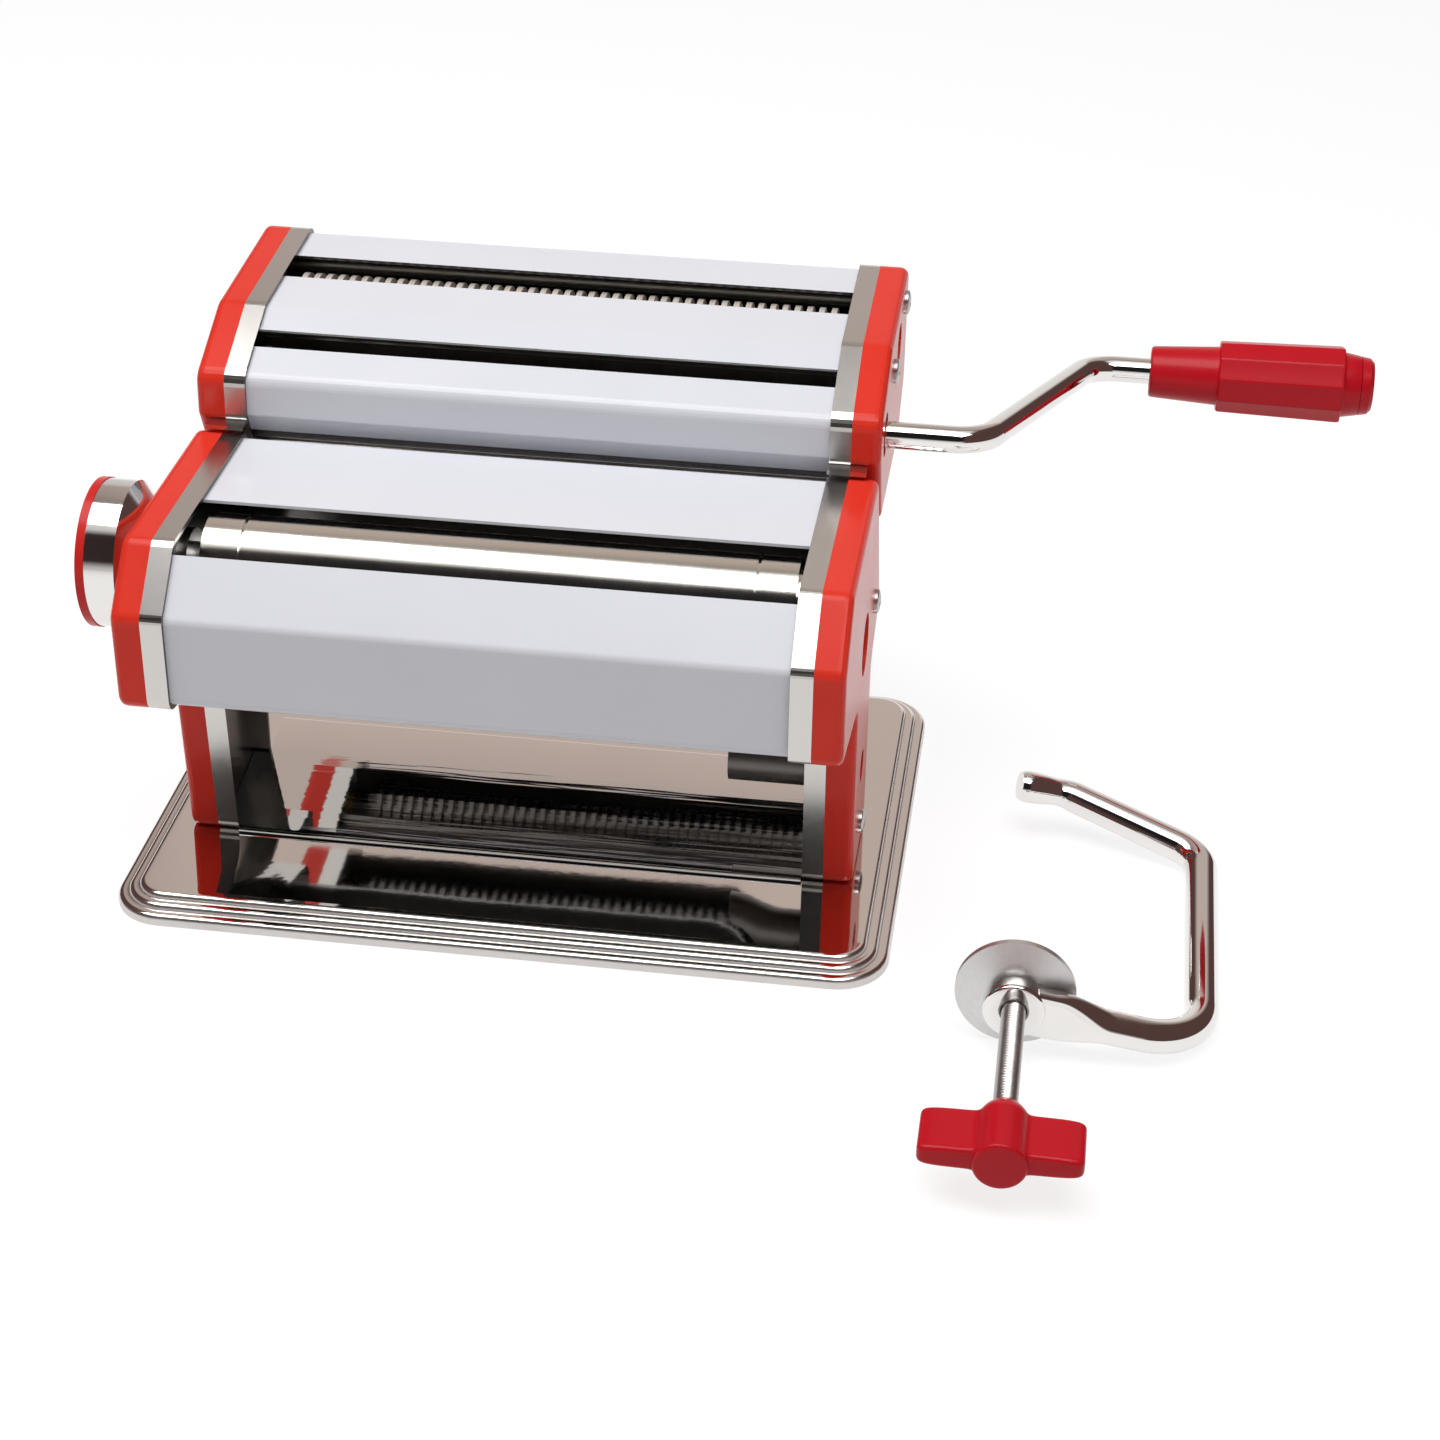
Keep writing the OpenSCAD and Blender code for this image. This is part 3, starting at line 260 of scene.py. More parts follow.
def dress(material, *names):
    """Gives CAD nodes their finished surface."""
    for name in names:
        mesh = nodes[name].data
        mesh.materials.clear()
        mesh.materials.append(material)


warm_chrome = (0.82, 0.79, 0.77)
sheet_chrome = chrome_plate("sheet_chrome", warm_chrome, dull=0.02, smear=0.03, ripple=0.08, edge_dull=0.6)


def surface(name, grids, body, material, round_rows=False):
    """Meshes grids of points, each rows by columns: columns close round the piece, and so may rows."""
    weld = 1e-7
    sharp_from = math.radians(40)
    points = np.concatenate([grid.reshape(-1, 3) for grid in grids])
    quads = []
    first = 0
    for grid in grids:
        rows, columns = grid.shape[:2]
        row, column = np.meshgrid(np.arange(rows if round_rows else rows - 1), np.arange(columns),
                                  indexing="ij")
        next_row = (row + 1) % rows
        next_column = (column + 1) % columns
        quads.append(first + np.stack([row * columns + column, row * columns + next_column,
                                       next_row * columns + next_column, next_row * columns + column],
                                      -1).reshape(-1, 4))
        first += rows * columns
    mesh = bpy.data.meshes.new(name)
    mesh.from_pydata(points.tolist(), [], np.concatenate(quads).tolist())
    shape = bmesh.new()
    shape.from_mesh(mesh)
    bmesh.ops.remove_doubles(shape, verts=shape.verts, dist=weld)
    bmesh.ops.dissolve_degenerate(shape, edges=shape.edges, dist=weld)
    bmesh.ops.recalc_face_normals(shape, faces=shape.faces)
    shape.to_mesh(mesh)
    shape.free()
    mesh.shade_smooth()
    mesh.set_sharp_from_angle(angle=sharp_from)
    mesh.materials.append(material)
    piece = bpy.data.objects.new(name, mesh)
    scene.collection.objects.link(piece)
    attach(piece, body)
    return piece


def soften(line, reach):
    """Rounds the inner corners of a profile: each gives way to a short arc that starts a reach away."""
    most_of_run = 0.45
    corner = line[1:-1]
    back = line[:-2] - corner
    ahead = line[2:] - corner
    back *= np.minimum(reach / np.linalg.norm(back, axis=1), most_of_run)[:, None]
    ahead *= np.minimum(reach / np.linalg.norm(ahead, axis=1), most_of_run)[:, None]
    arc = np.stack([corner + back, corner + (back + ahead) / 4, corner + ahead], 1).reshape(-1, 2)
    return np.concatenate([line[:1], arc, line[-1:]])


base_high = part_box("base_plate")[1]
base_h = base_high.z
base_corner = 0.014
sheet_t = 0.0012
bead_r = 0.0015
bead_land = 0.0014
bead_count = 3
rim_ease = 0.0003
lip_h = base_h - bead_count * bead_r
rim_w = bead_count * (bead_r + bead_land)
leg_front = 0.0335
front_dip = 0.0017
pocket_half = 0.076
pocket_end = 0.016
panel_rows = 64


def base_loops(inset):
    """Rounded rectangles, a row for each inset: four arcs about fixed centres, joined by straight runs."""
    arc_points = 13
    run_points = 56
    centre = np.array([base_high.x, base_high.y]) - base_corner
    signs = np.array([(1, 1), (-1, 1), (-1, -1), (1, -1)])
    arc = np.radians(np.arange(4) * 90)[:, None] + np.linspace(0, math.pi / 2, arc_points)
    ways = np.stack([np.cos(arc), np.sin(arc)], -1)
    corners = (signs * centre)[None, :, None] + (base_corner - inset)[:, None, None, None] * ways
    share = np.linspace(0, 1, run_points)[1:-1, None]
    following = np.roll(corners[:, :, :1], -1, axis=1)
    sides = corners[:, :, -1:] * (1 - share) + following * share
    return np.concatenate([corners, sides], axis=2).reshape(len(inset), -1, 2)


quarter = np.linspace(0, math.pi / 2, 9)
bead = np.arange(bead_count)[:, None]
rim = np.stack([(bead * (bead_r + bead_land) + bead_r * (1 - np.cos(quarter))).ravel(),
                (lip_h + bead * bead_r + bead_r * np.sin(quarter)).ravel()], 1)
rim = soften(np.concatenate([[(0, 0)], rim, [(rim_w, base_h)]]), rim_ease)
underside = np.array([(rim_w, base_h - sheet_t - front_dip), (sheet_t, lip_h), (sheet_t, 0)])
section = np.concatenate([underside, rim])
rim_loops = base_loops(section[:, 0])
rim_heights = np.repeat(section[:, 1:], rim_loops.shape[1], axis=1)
panel = rim_loops[-1:] * np.linspace(1, 0, panel_rows)[:, None, None]
front_run = base_high.y - rim_w - leg_front
to_front = np.clip((-leg_front - panel[..., 1]) / front_run, 0, 1)
to_end = np.clip((pocket_half - np.abs(panel[..., 0])) / pocket_end, 0, 1)
panel_heights = base_h - front_dip * to_front * to_end ** 2 * (3 - 2 * to_end)
top_panel = np.concatenate([panel, panel_heights[..., None]], -1)
base_points = np.concatenate([
    top_panel[::-1] - (0, 0, sheet_t),
    np.concatenate([rim_loops, rim_heights[..., None]], -1),
    top_panel])
pressed_base = surface("pressed_base", [base_points], "frame", sheet_chrome)
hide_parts("base_plate")


# Slide: a polished sheet between the legs that tips the dough out to the front.
# It is folded from the same chromed steel, with a rolled front edge and a turned-down back.
def folded_sheet(line, half_width, thick):
    """A sheet folded along X: a line swept to both sides, and again a thickness below along its normal."""
    along = np.gradient(line, axis=0)
    along /= np.linalg.norm(along, axis=1)[:, None]
    under = line - thick * np.stack([-along[:, 1], along[:, 0]], 1)
    columns = 9
    sideways = half_width[:, None, None] * np.linspace(-1, 1, columns)[None, :, None]
    top_face = np.concatenate([sideways, np.repeat(line[:, None], columns, axis=1)], -1)
    low_face = np.concatenate([-sideways, np.repeat(under[:, None], columns, axis=1)], -1)
    first_edge = np.concatenate([top_face[:1], top_face[:1, ::-1]], 1)
    last_edge = np.concatenate([top_face[-1:], top_face[-1:, ::-1]], 1)
    return np.concatenate([first_edge, np.concatenate([top_face, low_face], 1), last_edge])


slide_chrome = chrome_plate("slide_chrome", warm_chrome, dull=0.02, smear=0.02, ripple=0.10,
                            grain=(0.04, 1, 1), streak=0.30)
slide_lean = math.tan(math.radians(8.6))
slide_t = 0.0008
slide_gap = 0.0001
slide_lip = 0.0009
slide_ease = 0.0006
slide_front = -leg_front - slide_lip
slide_back = 0.0135
wide_from = -0.0318
wide_to = -0.0021
shoulder = 0.0001
slide_wide = 0.0812
slide_slim = 0.0768
foot_z = base_h + slide_gap
slope_y = np.array([slide_front, wide_from, wide_from + shoulder, wide_to - shoulder, wide_to, slide_back])
slope_z = foot_z + slide_lip + slide_lean * (slope_y - slide_front)
slope = np.stack([slope_y, slope_z], 1)
slide_line = np.concatenate([[(slide_front, foot_z)], slope, [(slide_back, foot_z)]])
slide_line = soften(slide_line, slide_ease)
slide_y = slide_line[:, 0]
between_legs = (slide_y > wide_from + shoulder / 2) & (slide_y < wide_to - shoulder / 2)
slide_points = folded_sheet(slide_line, np.where(between_legs, slide_wide, slide_slim), slide_t)
dough_slide = surface("dough_slide", [slide_points], "frame", slide_chrome)


# Feet: four round pads of black rubber stuck inside the pressing.
# They only just show when the machine is tipped up.
foot_rubber, tree, shader = finish("foot_rubber")
speck = noise(tree, scale=900)
feed(tree, shader,
     Base_Color=blend_colours(tree, speck, (0.012, 0.012, 0.013), (0.03, 0.03, 0.03)),
     Roughness=0.7 + 0.2 * speck,
     Normal=bump(tree, speck, strength=0.3, depth=0.0003))
dress(foot_rubber, "rubber_feet")


# Side plates: chromed sheet with its edge folded in as a band that frames the white panels.
# The bands are polished, and the upright web between them is painted near black as shade.
band_tint = (0.62, 0.60, 0.575)
band_chrome = chrome_plate("band_chrome", band_tint, dull=0.16, smear=0.10, ripple=0.10)
plate_chrome = chrome_plate("plate_chrome", band_tint, dull=0.16, smear=0.10, ripple=0.10, web_shade=0.85)
dress(plate_chrome, "left_side_plate", "right_side_plate", "cutter_left_plate", "cutter_right_plate")


# Side covers: glossy red plastic mouldings that close the gears in.
# Their outer edge is rounded and their face has a very fine moulded orange peel.
def moulded_red(name, deep, bright, gloss):
    """Red moulded plastic: a faintly uneven red under a clear gloss, with orange peel."""
    material, tree, shader = finish(name, Coat_Roughness=0.06, Specular_IOR_Level=0.15)
    cloud = noise(tree, scale=60, detail=3)
    peel = noise(tree, scale=900)
    feed(tree, shader,
         Base_Color=blend_colours(tree, cloud, deep, bright),
         Roughness=gloss + 0.10 * cloud,
         Coat_Weight=0.03 + 0.06 * cloud,
         Normal=bump(tree, peel, strength=0.08, depth=0.0002))
    return material


cover_red = moulded_red("cover_red", deep=(0.76, 0.036, 0.020), bright=(0.84, 0.046, 0.026), gloss=0.20)
dress(cover_red, "left_side_cover", "right_side_cover", "cutter_left_cover", "cutter_right_cover")


# Guards: thin steel panels stove enamelled in a cool white, bent over the rollers.
# Each lies under the chrome bands at both ends, and its inside is painted near black as shade.
def stove_enamel(name, middle):
    """White enamel, faintly mottled and glossy. Faces that look towards the unit's middle are painted near
    black as shade.
    """
    material, tree, shader = finish(name, Coat_Roughness=0.05, Specular_IOR_Level=0.3)
    mottle = noise(tree, scale=35, detail=3)
    peel = noise(tree, scale=500)
    place = Socket.node(tree, "ShaderNodeTexCoord", {}, {}, "Object")
    facing = Socket.node(tree, "ShaderNodeTexCoord", {}, {}, "Normal")
    from_middle = [part_along(place, axis) - at for axis, at in zip("YZ", middle)]
    outwards = from_middle[0] * part_along(facing, "Y") + from_middle[1] * part_along(facing, "Z")
    white = blend_colours(tree, mottle, (0.77, 0.775, 0.83), (0.81, 0.815, 0.865))
    feed(tree, shader,
         # Faces turned inwards get near black instead of white: painted shade for the inside of the guards.
         Base_Color=blend_colours(tree, outwards.math("LESS_THAN", 0.0), white, shade_black),
         Roughness=0.16 + 0.12 * mottle,
         Coat_Weight=0.06 + 0.08 * mottle,
         Normal=bump(tree, peel, strength=0.05, depth=0.0002))
    return material


guard_white = stove_enamel("guard_white", (-0.02, 0.07))
cutter_white = stove_enamel("cutter_white", (0.039, 0.105))
dress(guard_white, "front_guard", "rear_guard")
dress(cutter_white, "cutter_front_guard", "cutter_rear_guard")


# Middle guard: the enamelled sheet between the two cutter slots, folded once along its front.
# It tucks under the bands, and stops short of the rear slot so that the discs show above its edge.
guard_t = 0.0008
guard_ease = 0.0010
middle_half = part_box("cutter_middle_guard")[1].x
middle_front = np.array((0.0190, 0.13089))
middle_fold = np.array((0.0263, 0.13422))
middle_slope = 0.06
middle_rear_y = 0.0450
middle_rise = middle_slope * (middle_rear_y - middle_fold[0])
middle_rear = np.array((middle_rear_y, middle_fold[1] + middle_rise))
middle_line = soften(np.stack([middle_front, middle_fold, middle_rear]), guard_ease)
middle_points = folded_sheet(middle_line, np.full(len(middle_line), middle_half), guard_t)
middle_sheet = surface("middle_sheet", [middle_points], "cutter", cutter_white)
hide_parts("cutter_middle_guard")


# Inner frame: tie rods, scrapers, combs and the regulator's shaft, pin and washer in drawn steel.
# They are turned or sheared from stock and left bright; the cutter's rails and hooks are chromed.
def drawn_steel(name, tint, dull, lay):
    """Bright drawn steel: fine lines along one axis that dull it in streaks."""
    material, tree, shader = finish(name, Metallic=1.0)
    lines = noise(tree, scale=700, detail=3, stretch=lay)
    cloud = noise(tree, scale=40, detail=3)
    darker = tuple(0.8 * c for c in tint)
    feed(tree, shader,
         Base_Color=blend_colours(tree, lines, darker, tint),
         Roughness=dull + 0.18 * lines + 0.08 * cloud,
         Normal=bump(tree, lines, strength=0.12, depth=0.0002))
    return material


bar_steel = drawn_steel("bar_steel", (0.56, 0.55, 0.54), dull=0.22, lay=(0.02, 1, 1))
dress(bar_steel, "tie_rods", "front_scraper", "rear_scraper",
      "wide_front_comb", "wide_rear_comb", "narrow_front_comb", "narrow_rear_comb", "knob_retainer",
      "knob_pin", "regulator_shaft")
dress(band_chrome, "cutter_rails", "hanger_plate")


# Apron: a plain steel sheet that hangs between the two cutter pairs and keeps their strips apart.
# It is sheared from stock, tucked under the middle guard and painted near black as shade, so the floor does
# not show through the cutter.
# The cutter's tie rods and the clamp's socket tube get the same near black as painted shade.
# A near-black steel that stands in for shade on parts deep inside and under the machine.
shade_steel = drawn_steel("shade_steel", (0.17, 0.16, 0.15), dull=0.30, lay=(2.0, 0.1, 0.1))
dress(shade_steel, "cutter_tie_rods", "clamp_socket")
apron_y = 0.0398
apron_half = 0.0804
apron_t = 0.0008
apron_low = 0.106
apron_high = 0.1336
worn_edge = np.array([(-0.5, 0.0), (-0.25, -0.25), (0.25, -0.25), (0.5, 0.0)]) * apron_t
apron_loop = np.concatenate([worn_edge + (apron_y, apron_low), (apron_y, apron_high) - worn_edge])
apron_ends = np.array([-1, -1, 1, 1])[:, None] * apron_half
apron_loops = np.repeat(apron_loop[None], len(apron_ends), axis=0)
apron_loops[[0, -1]] = (apron_y, (apron_low + apron_high) / 2)
apron_points = np.concatenate([np.repeat(apron_ends[:, None], len(apron_loop), axis=1), apron_loops], -1)
cutter_apron = surface("cutter_apron", [apron_points], "cutter", shade_steel)


# Bushes and sleeves: turned rings that the journals run in, pressed into the side plates.
# Those of the cutter are brass darkened by oil; those of the main unit are plated like the bands.
bush_brass = drawn_steel("bush_brass", (0.52, 0.37, 0.17), dull=0.30, lay=(1, 0.05, 0.05))
dress(bush_brass, "cutter_bushes")
dress(band_chrome, "main_bushes", "roller_sleeves")


# Sheet rollers: ground and chromed steel, each with a fine groove near its ends.
# The grinding leaves rings round the roller that streak its reflections.
roller_chrome = chrome_plate("roller_chrome", (0.82, 0.795, 0.74), dull=0.07, smear=0.10, ripple=0.12,
                             grain=(3.0, 0.05, 0.05))
dress(roller_chrome, "rear_roller", "front_roller")


# Gears and cutter rollers: milled carbon steel, with each gear on the end of its roller's shaft.
# The driven rollers are bright steel, and their idle partners, the same steel, take a near-black copy as
# painted shade for their deeper place.
gear_steel = drawn_steel("gear_steel", (0.48, 0.47, 0.46), dull=0.28, lay=(0.05, 1, 1))
cutter_steel = drawn_steel("cutter_steel", (0.93, 0.89, 0.83), dull=0.34, lay=(2.0, 0.1, 0.1))
dress(gear_steel, "rear_roller_gear", "front_roller_gear", "wide_drive_gear", "wide_idle_gear",
      "narrow_drive_gear", "narrow_idle_gear")
dress(cutter_steel, "wide_drive_roller", "narrow_drive_roller")
# Painted shade: the idle rollers take the near-black steel in place of their partners' bright steel.
dress(shade_steel, "wide_idle_roller", "narrow_idle_roller")


# Regulator knob: a turned and chromed drum closed by a red cap.
# It tapers towards the cover so that fingers can pull it out.
knob_chrome = chrome_plate("knob_chrome", (0.80, 0.78, 0.76), dull=0.05, smear=0.06, ripple=0.06)
cap_red = moulded_red("cap_red", deep=(0.62, 0.022, 0.020), bright=(0.70, 0.030, 0.024), gloss=0.25)
dress(knob_chrome, "regulator_knob")
dress(cap_red, "knob_cap")


# Knob spring: a coil of hard steel wire inside the knob that presses it home from a washer on the shaft.
# On the real knob it shortens as the knob is pulled; here the coil keeps its length and goes with the knob.
# A point's place is the coil's circle and rise, plus the wire's own circle outwards and along the shaft.
spring_low, spring_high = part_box("knob_spring")
wire_r = 0.00045
coil_turns = 4
coil_r = (spring_high.z - spring_low.z) / 2 - wire_r
coil_run = spring_high.x - spring_low.x
coil_y = (spring_low.y + spring_high.y) / 2
coil_z = (spring_low.z + spring_high.z) / 2
wire_sides = 12
turn_rows = 32
along_coil = np.linspace(0, 1, turn_rows * coil_turns + 1)[:, None]
coil_turn = 2 * math.pi * coil_turns * along_coil
wire_turn = np.linspace(0, 2 * math.pi, wire_sides, endpoint=False)[None]
coil_out = coil_r + wire_r * np.cos(wire_turn)
coil_x = spring_high.x - wire_r - (coil_run - 2 * wire_r) * along_coil + wire_r * np.sin(wire_turn)
coil_points = np.stack([coil_x, coil_y + coil_out * np.cos(coil_turn),
                        coil_z + coil_out * np.sin(coil_turn)], -1)
wire_ends = np.repeat(coil_points[[0, -1]].mean(axis=1, keepdims=True), wire_sides, axis=1)
coil_points = np.concatenate([wire_ends[:1], coil_points, wire_ends[1:]])
coil_spring = surface("coil_spring", [coil_points], "knob", bar_steel)
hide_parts("knob_spring")
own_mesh(coil_spring)


# Fixing screws: pan heads in bright steel with a cross recess, two in the outside of each cover.
# They hold the covers to the side plates.
def screw_heads(name, body, places, replaced):
    """Heads on both covers: height over a polar grid is a dome less a cross of two tapered slots."""
    head_r = 0.00325
    head_h = 0.0015
    head_sunk = 0.0001
    rim_share = 0.45
    roundness = 0.98
    slot_reach = 0.0019
    slot_half = 0.00042
    slot_depth = 0.0010
    wall_run = 0.00015
    end_run = 0.0007
    sides = 64
    rings = 26
    turn = np.linspace(0, 2 * math.pi, sides, endpoint=False)
    radius, angle = np.meshgrid(np.linspace(0, 1, rings) * head_r, turn, indexing="ij")
    y = radius * np.cos(angle)
    z = radius * np.sin(angle)
    dome = head_h * (rim_share + (1 - rim_share) * np.sqrt(1 - roundness * (radius / head_r) ** 2))
    slots = [np.clip((slot_half - np.abs(across)) / wall_run, 0, 1)
             * np.clip((slot_reach - np.abs(along)) / end_run, 0, 1)
             for across, along in ((y, z), (z, y))]
    x = dome - slot_depth * np.maximum(*slots)
    rim = np.stack([np.zeros(sides), y[-1], z[-1]], -1)[None]
    top = np.concatenate([np.stack([x, y, z], -1), rim, rim * (0, 0, 0)])
    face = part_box(replaced)[1].x - head_h - head_sunk
    grids = [(top + (face, py, pz)) * (side, 1, 1) for side in (-1, 1) for py, pz in places]
    heads = surface(name, grids, body, bar_steel)
    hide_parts(replaced)


screw_heads("cover_screw_heads", "frame", [(0.004, 0.072), (-0.01675, 0.016)], "cover_screws")
screw_heads("cutter_screw_heads", "cutter", [(0.036, 0.124), (0.066, 0.131)], "cutter_screws")


# Crank: a bent and chromed steel rod, flattened at one end to plug into a drive socket.
# Its other end carries the red grip, and a pressed plug keeps the grip on.
rod_chrome = chrome_plate("rod_chrome", (0.82, 0.80, 0.785), dull=0.03, smear=0.04, ripple=0.04)
crimson = (0.52, 0.007, 0.015)
light_crimson = (0.60, 0.010, 0.020)
grip_red = moulded_red("grip_red", deep=crimson, bright=light_crimson, gloss=0.26)
dress(grip_red, "grip_plug")


def bent_line(corners, bends, steps):
    """Centre line of a bent rod: at each inner corner an arc of the bend radius turns from run to run."""
    runs = [corners[:1]]
    for before, at, after, radius in zip(corners[:-2], corners[1:-1], corners[2:], bends):
        back = (before - at) / np.linalg.norm(before - at)
        ahead = (after - at) / np.linalg.norm(after - at)
        half = math.acos(back @ ahead) / 2
        hub = at + (back + ahead) / np.linalg.norm(back + ahead) * radius / math.sin(half)
        start = at + back * radius / math.tan(half) - hub
        stop = at + ahead * radius / math.tan(half) - hub
        sweep = math.pi - 2 * half
        share = np.linspace(0, 1, steps)[:, None]
        arc = np.sin((1 - share) * sweep) * start + np.sin(share * sweep) * stop
        runs.append(hub + arc / math.sin(sweep))
    runs.append(corners[-1:])
    return np.concatenate(runs)


def rod_surface(line, upright, across_half, upright_half, squareness, sides):
    """Tube round a line: each section is a superellipse across the line and along an upright direction."""
    heading = np.gradient(line, axis=0)
    heading /= np.linalg.norm(heading, axis=1)[:, None]
    across = np.cross(upright, heading)
    turn = np.linspace(0, 2 * math.pi, sides, endpoint=False)[None]
    power = 2 / squareness[:, None]
    wide = np.sign(np.cos(turn)) * np.abs(np.cos(turn)) ** power * across_half[:, None]
    high = np.sign(np.sin(turn)) * np.abs(np.sin(turn)) ** power * upright_half[:, None]
    rings = line[:, None] + wide[..., None] * across[:, None] + high[..., None] * upright
    ends = [np.repeat(line[k][None, None], sides, axis=1) for k in (0, -1)]
    return np.concatenate([ends[0], rings, ends[1]])


crank_low, crank_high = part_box("crank_rod")
rod_r = 0.0036
crank_axis = np.array([0, 0.0145, 0.1156])
crank_lean = math.radians(-6.6)
arm_way = np.array([0, math.cos(crank_lean), math.sin(crank_lean)])
crank_upright = np.array([0, -math.sin(crank_lean), math.cos(crank_lean)])
crank_r = 0.070
crank_bend = 0.011
bend_steps = 24
rod_sides = 48
tang_len = 0.005
tang_half = 0.0022
tang_step = 1e-5
arm_from = 0.1154
arm_to = 0.1416
crank_stations = np.array([crank_low.x, arm_from, arm_to, crank_high.x])
crank_corners = crank_axis + crank_stations[:, None] * (1, 0, 0)
crank_corners[2:] += crank_r * arm_way
crank_line = bent_line(crank_corners, [crank_bend, crank_bend], bend_steps)
tang_end = crank_line[0] + (tang_len, 0, 0)
tang_rows = np.stack([tang_end - (tang_step, 0, 0), tang_end])
crank_line = np.concatenate([crank_line[:1], tang_rows, crank_line[1:]])
full = np.full(len(crank_line), rod_r)
crank_points = rod_surface(crank_line, crank_upright, full, full, np.full(len(full), 2.0), rod_sides)
on_tang = crank_points[..., 0] < tang_end[0] - tang_step / 2
flattened = np.clip(crank_points[..., 1], crank_axis[1] - tang_half, crank_axis[1] + tang_half)
crank_points[..., 1] = np.where(on_tang, flattened, crank_points[..., 1])
crank_bar = surface("crank_bar", [crank_points], "crank", rod_chrome)
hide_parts("crank_rod")


# Grip: a red moulding with a stepped barrel and shallow flutes, bored to run loose on the rod.
# Its profile turns about the rod's axis, and the flutes are parabolas cut into the barrel's radius.
grip_low, grip_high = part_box("crank_grip")
grip_r = (grip_high.z - grip_low.z) / 2
grip_y = (grip_low.y + grip_high.y) / 2
grip_z = (grip_low.z + grip_high.z) / 2
grip_edge = 0.0006
barrel_edge = 0.0008
grip_ease = 0.0005
grip_bore = 0.0042
barrel_from = 0.0188
barrel_to = 0.0528
grip_run = grip_high.x - grip_low.x
flutes = 10
flute_depth = 0.0005
flute_half = 0.0032
flute_sides = 24
hair = 1e-7
profile = np.array([
    (0, grip_bore), (0, 0.62 * grip_r), (grip_edge, 0.66 * grip_r), (barrel_from - grip_edge, 0.755 * grip_r),
    (barrel_from, 0.76 * grip_r), (barrel_from, 0.925 * grip_r), (barrel_from + barrel_edge, 0.935 * grip_r),
    (barrel_to - barrel_edge, grip_r), (barrel_to, 0.985 * grip_r), (barrel_to, 0.84 * grip_r),
    (barrel_to + grip_edge, 0.83 * grip_r), (grip_run, 0.76 * grip_r), (grip_run, grip_bore)])
profile = soften(profile, grip_ease)
grip_turn = np.linspace(0, 2 * math.pi, flute_sides * flutes, endpoint=False)
off_flute = ((grip_turn * flutes / (2 * math.pi) + 0.5) % 1 - 0.5) * 2 * math.pi * grip_r / flutes
groove = flute_depth * np.clip(1 - (off_flute / flute_half) ** 2, 0, 1)
station, around = np.meshgrid(profile[:, 0], grip_turn, indexing="ij")
outer = np.repeat(profile[:, 1:], len(grip_turn), axis=1)
on_barrel = (outer > 0.9 * grip_r) & (station >= barrel_from - hair) & (station <= barrel_to + hair)
outer = outer - np.where(on_barrel, groove[None, :], 0)
grip_points = np.stack([grip_low.x + station, grip_y + outer * np.cos(around),
                        grip_z + outer * np.sin(around)], -1)
fluted_grip = surface("fluted_grip", [grip_points], "grip", grip_red, round_rows=True)
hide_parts("crank_grip")


# Table clamp: a chromed rod bent to a hook and forged flat into an eye, with a zinc plated pad.
# It lies loose on the table beside the machine.
pad_zinc = drawn_steel("pad_zinc", (0.70, 0.69, 0.68), dull=0.26, lay=(1, 0.2, 1))
dress(pad_zinc, "clamp_pad")
pad_low, pad_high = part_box("clamp_pad")
clamp_origin = np.array([(pad_low.x + pad_high.x) / 2, -0.092, (pad_low.z + pad_high.z) / 2])
hook_r = 0.0044
clamp_throat = 0.0477
clamp_roll = math.asin((clamp_origin[2] - hook_r) / clamp_throat)
to_back = np.array([math.cos(clamp_roll), 0, -math.sin(clamp_roll)])
hook_upright = np.array([math.sin(clamp_roll), 0, math.cos(clamp_roll)])
to_jaw = np.array([0, 1, 0])
eye_r = 0.0078
eye_bore = 0.0032
eye_half = 0.0025
eye_corner = 0.35
neck_half = 0.0066
swell_from = 0.024
swell_run = 0.014
pinch_at = 0.0065
pinch_run = 0.004
pinch_across = 0.10
pinch_high = 0.16
tip_worn = (0.86, 0.96)
tip_rows = 12
neck_rows = 30
neck_square = 2.5
eye_rows = 64
eye_sides = 24
hook_tip = (-0.004, 0.100)
hook_brow = (0.009, 0.1025)
back_far = (clamp_throat, 0.090)
back_near = (clamp_throat, 0.005)
eye_neck = (0.0045, 0.0005)
hook_bends = [0.010, 0.010, 0.017]
hook_flat = bent_line(np.array([hook_tip, hook_brow, back_far, back_near, eye_neck]), hook_bends, bend_steps)
neck = np.linspace(hook_flat[-2], hook_flat[-1], neck_rows)
tip = np.linspace(hook_flat[0], hook_flat[1], tip_rows)
hook_flat = np.concatenate([tip, hook_flat[2:-2], neck])
hook_line = clamp_origin + hook_flat[:, :1] * to_back + hook_flat[:, 1:] * to_jaw
at_eye = hook_flat[:, 1] < back_far[1] / 2
near_eye = np.clip((swell_from - hook_flat[:, 0]) / swell_run, 0, 1) * at_eye
swell = near_eye ** 2 * (3 - 2 * near_eye)
pinch = np.exp(-((hook_flat[:, 0] - pinch_at) / pinch_run) ** 2) * ~at_eye
worn_tip = np.concatenate([tip_worn, np.ones(len(hook_flat) - len(tip_worn))])
hook_across = (hook_r + (eye_half - hook_r) * swell) * (1 - pinch_across * pinch) * worn_tip
hook_high = (hook_r + (neck_half - hook_r) * swell) * (1 - pinch_high * pinch) * worn_tip
hook_square = 2 + neck_square * swell
hook_points = rod_surface(hook_line, hook_upright, hook_across, hook_high, hook_square, rod_sides)
ring_turn, ring_side = np.meshgrid(np.linspace(0, 2 * math.pi, eye_rows, endpoint=False),
                                   np.linspace(0, 2 * math.pi, eye_sides, endpoint=False), indexing="ij")
wall_half = (eye_r - eye_bore) / 2
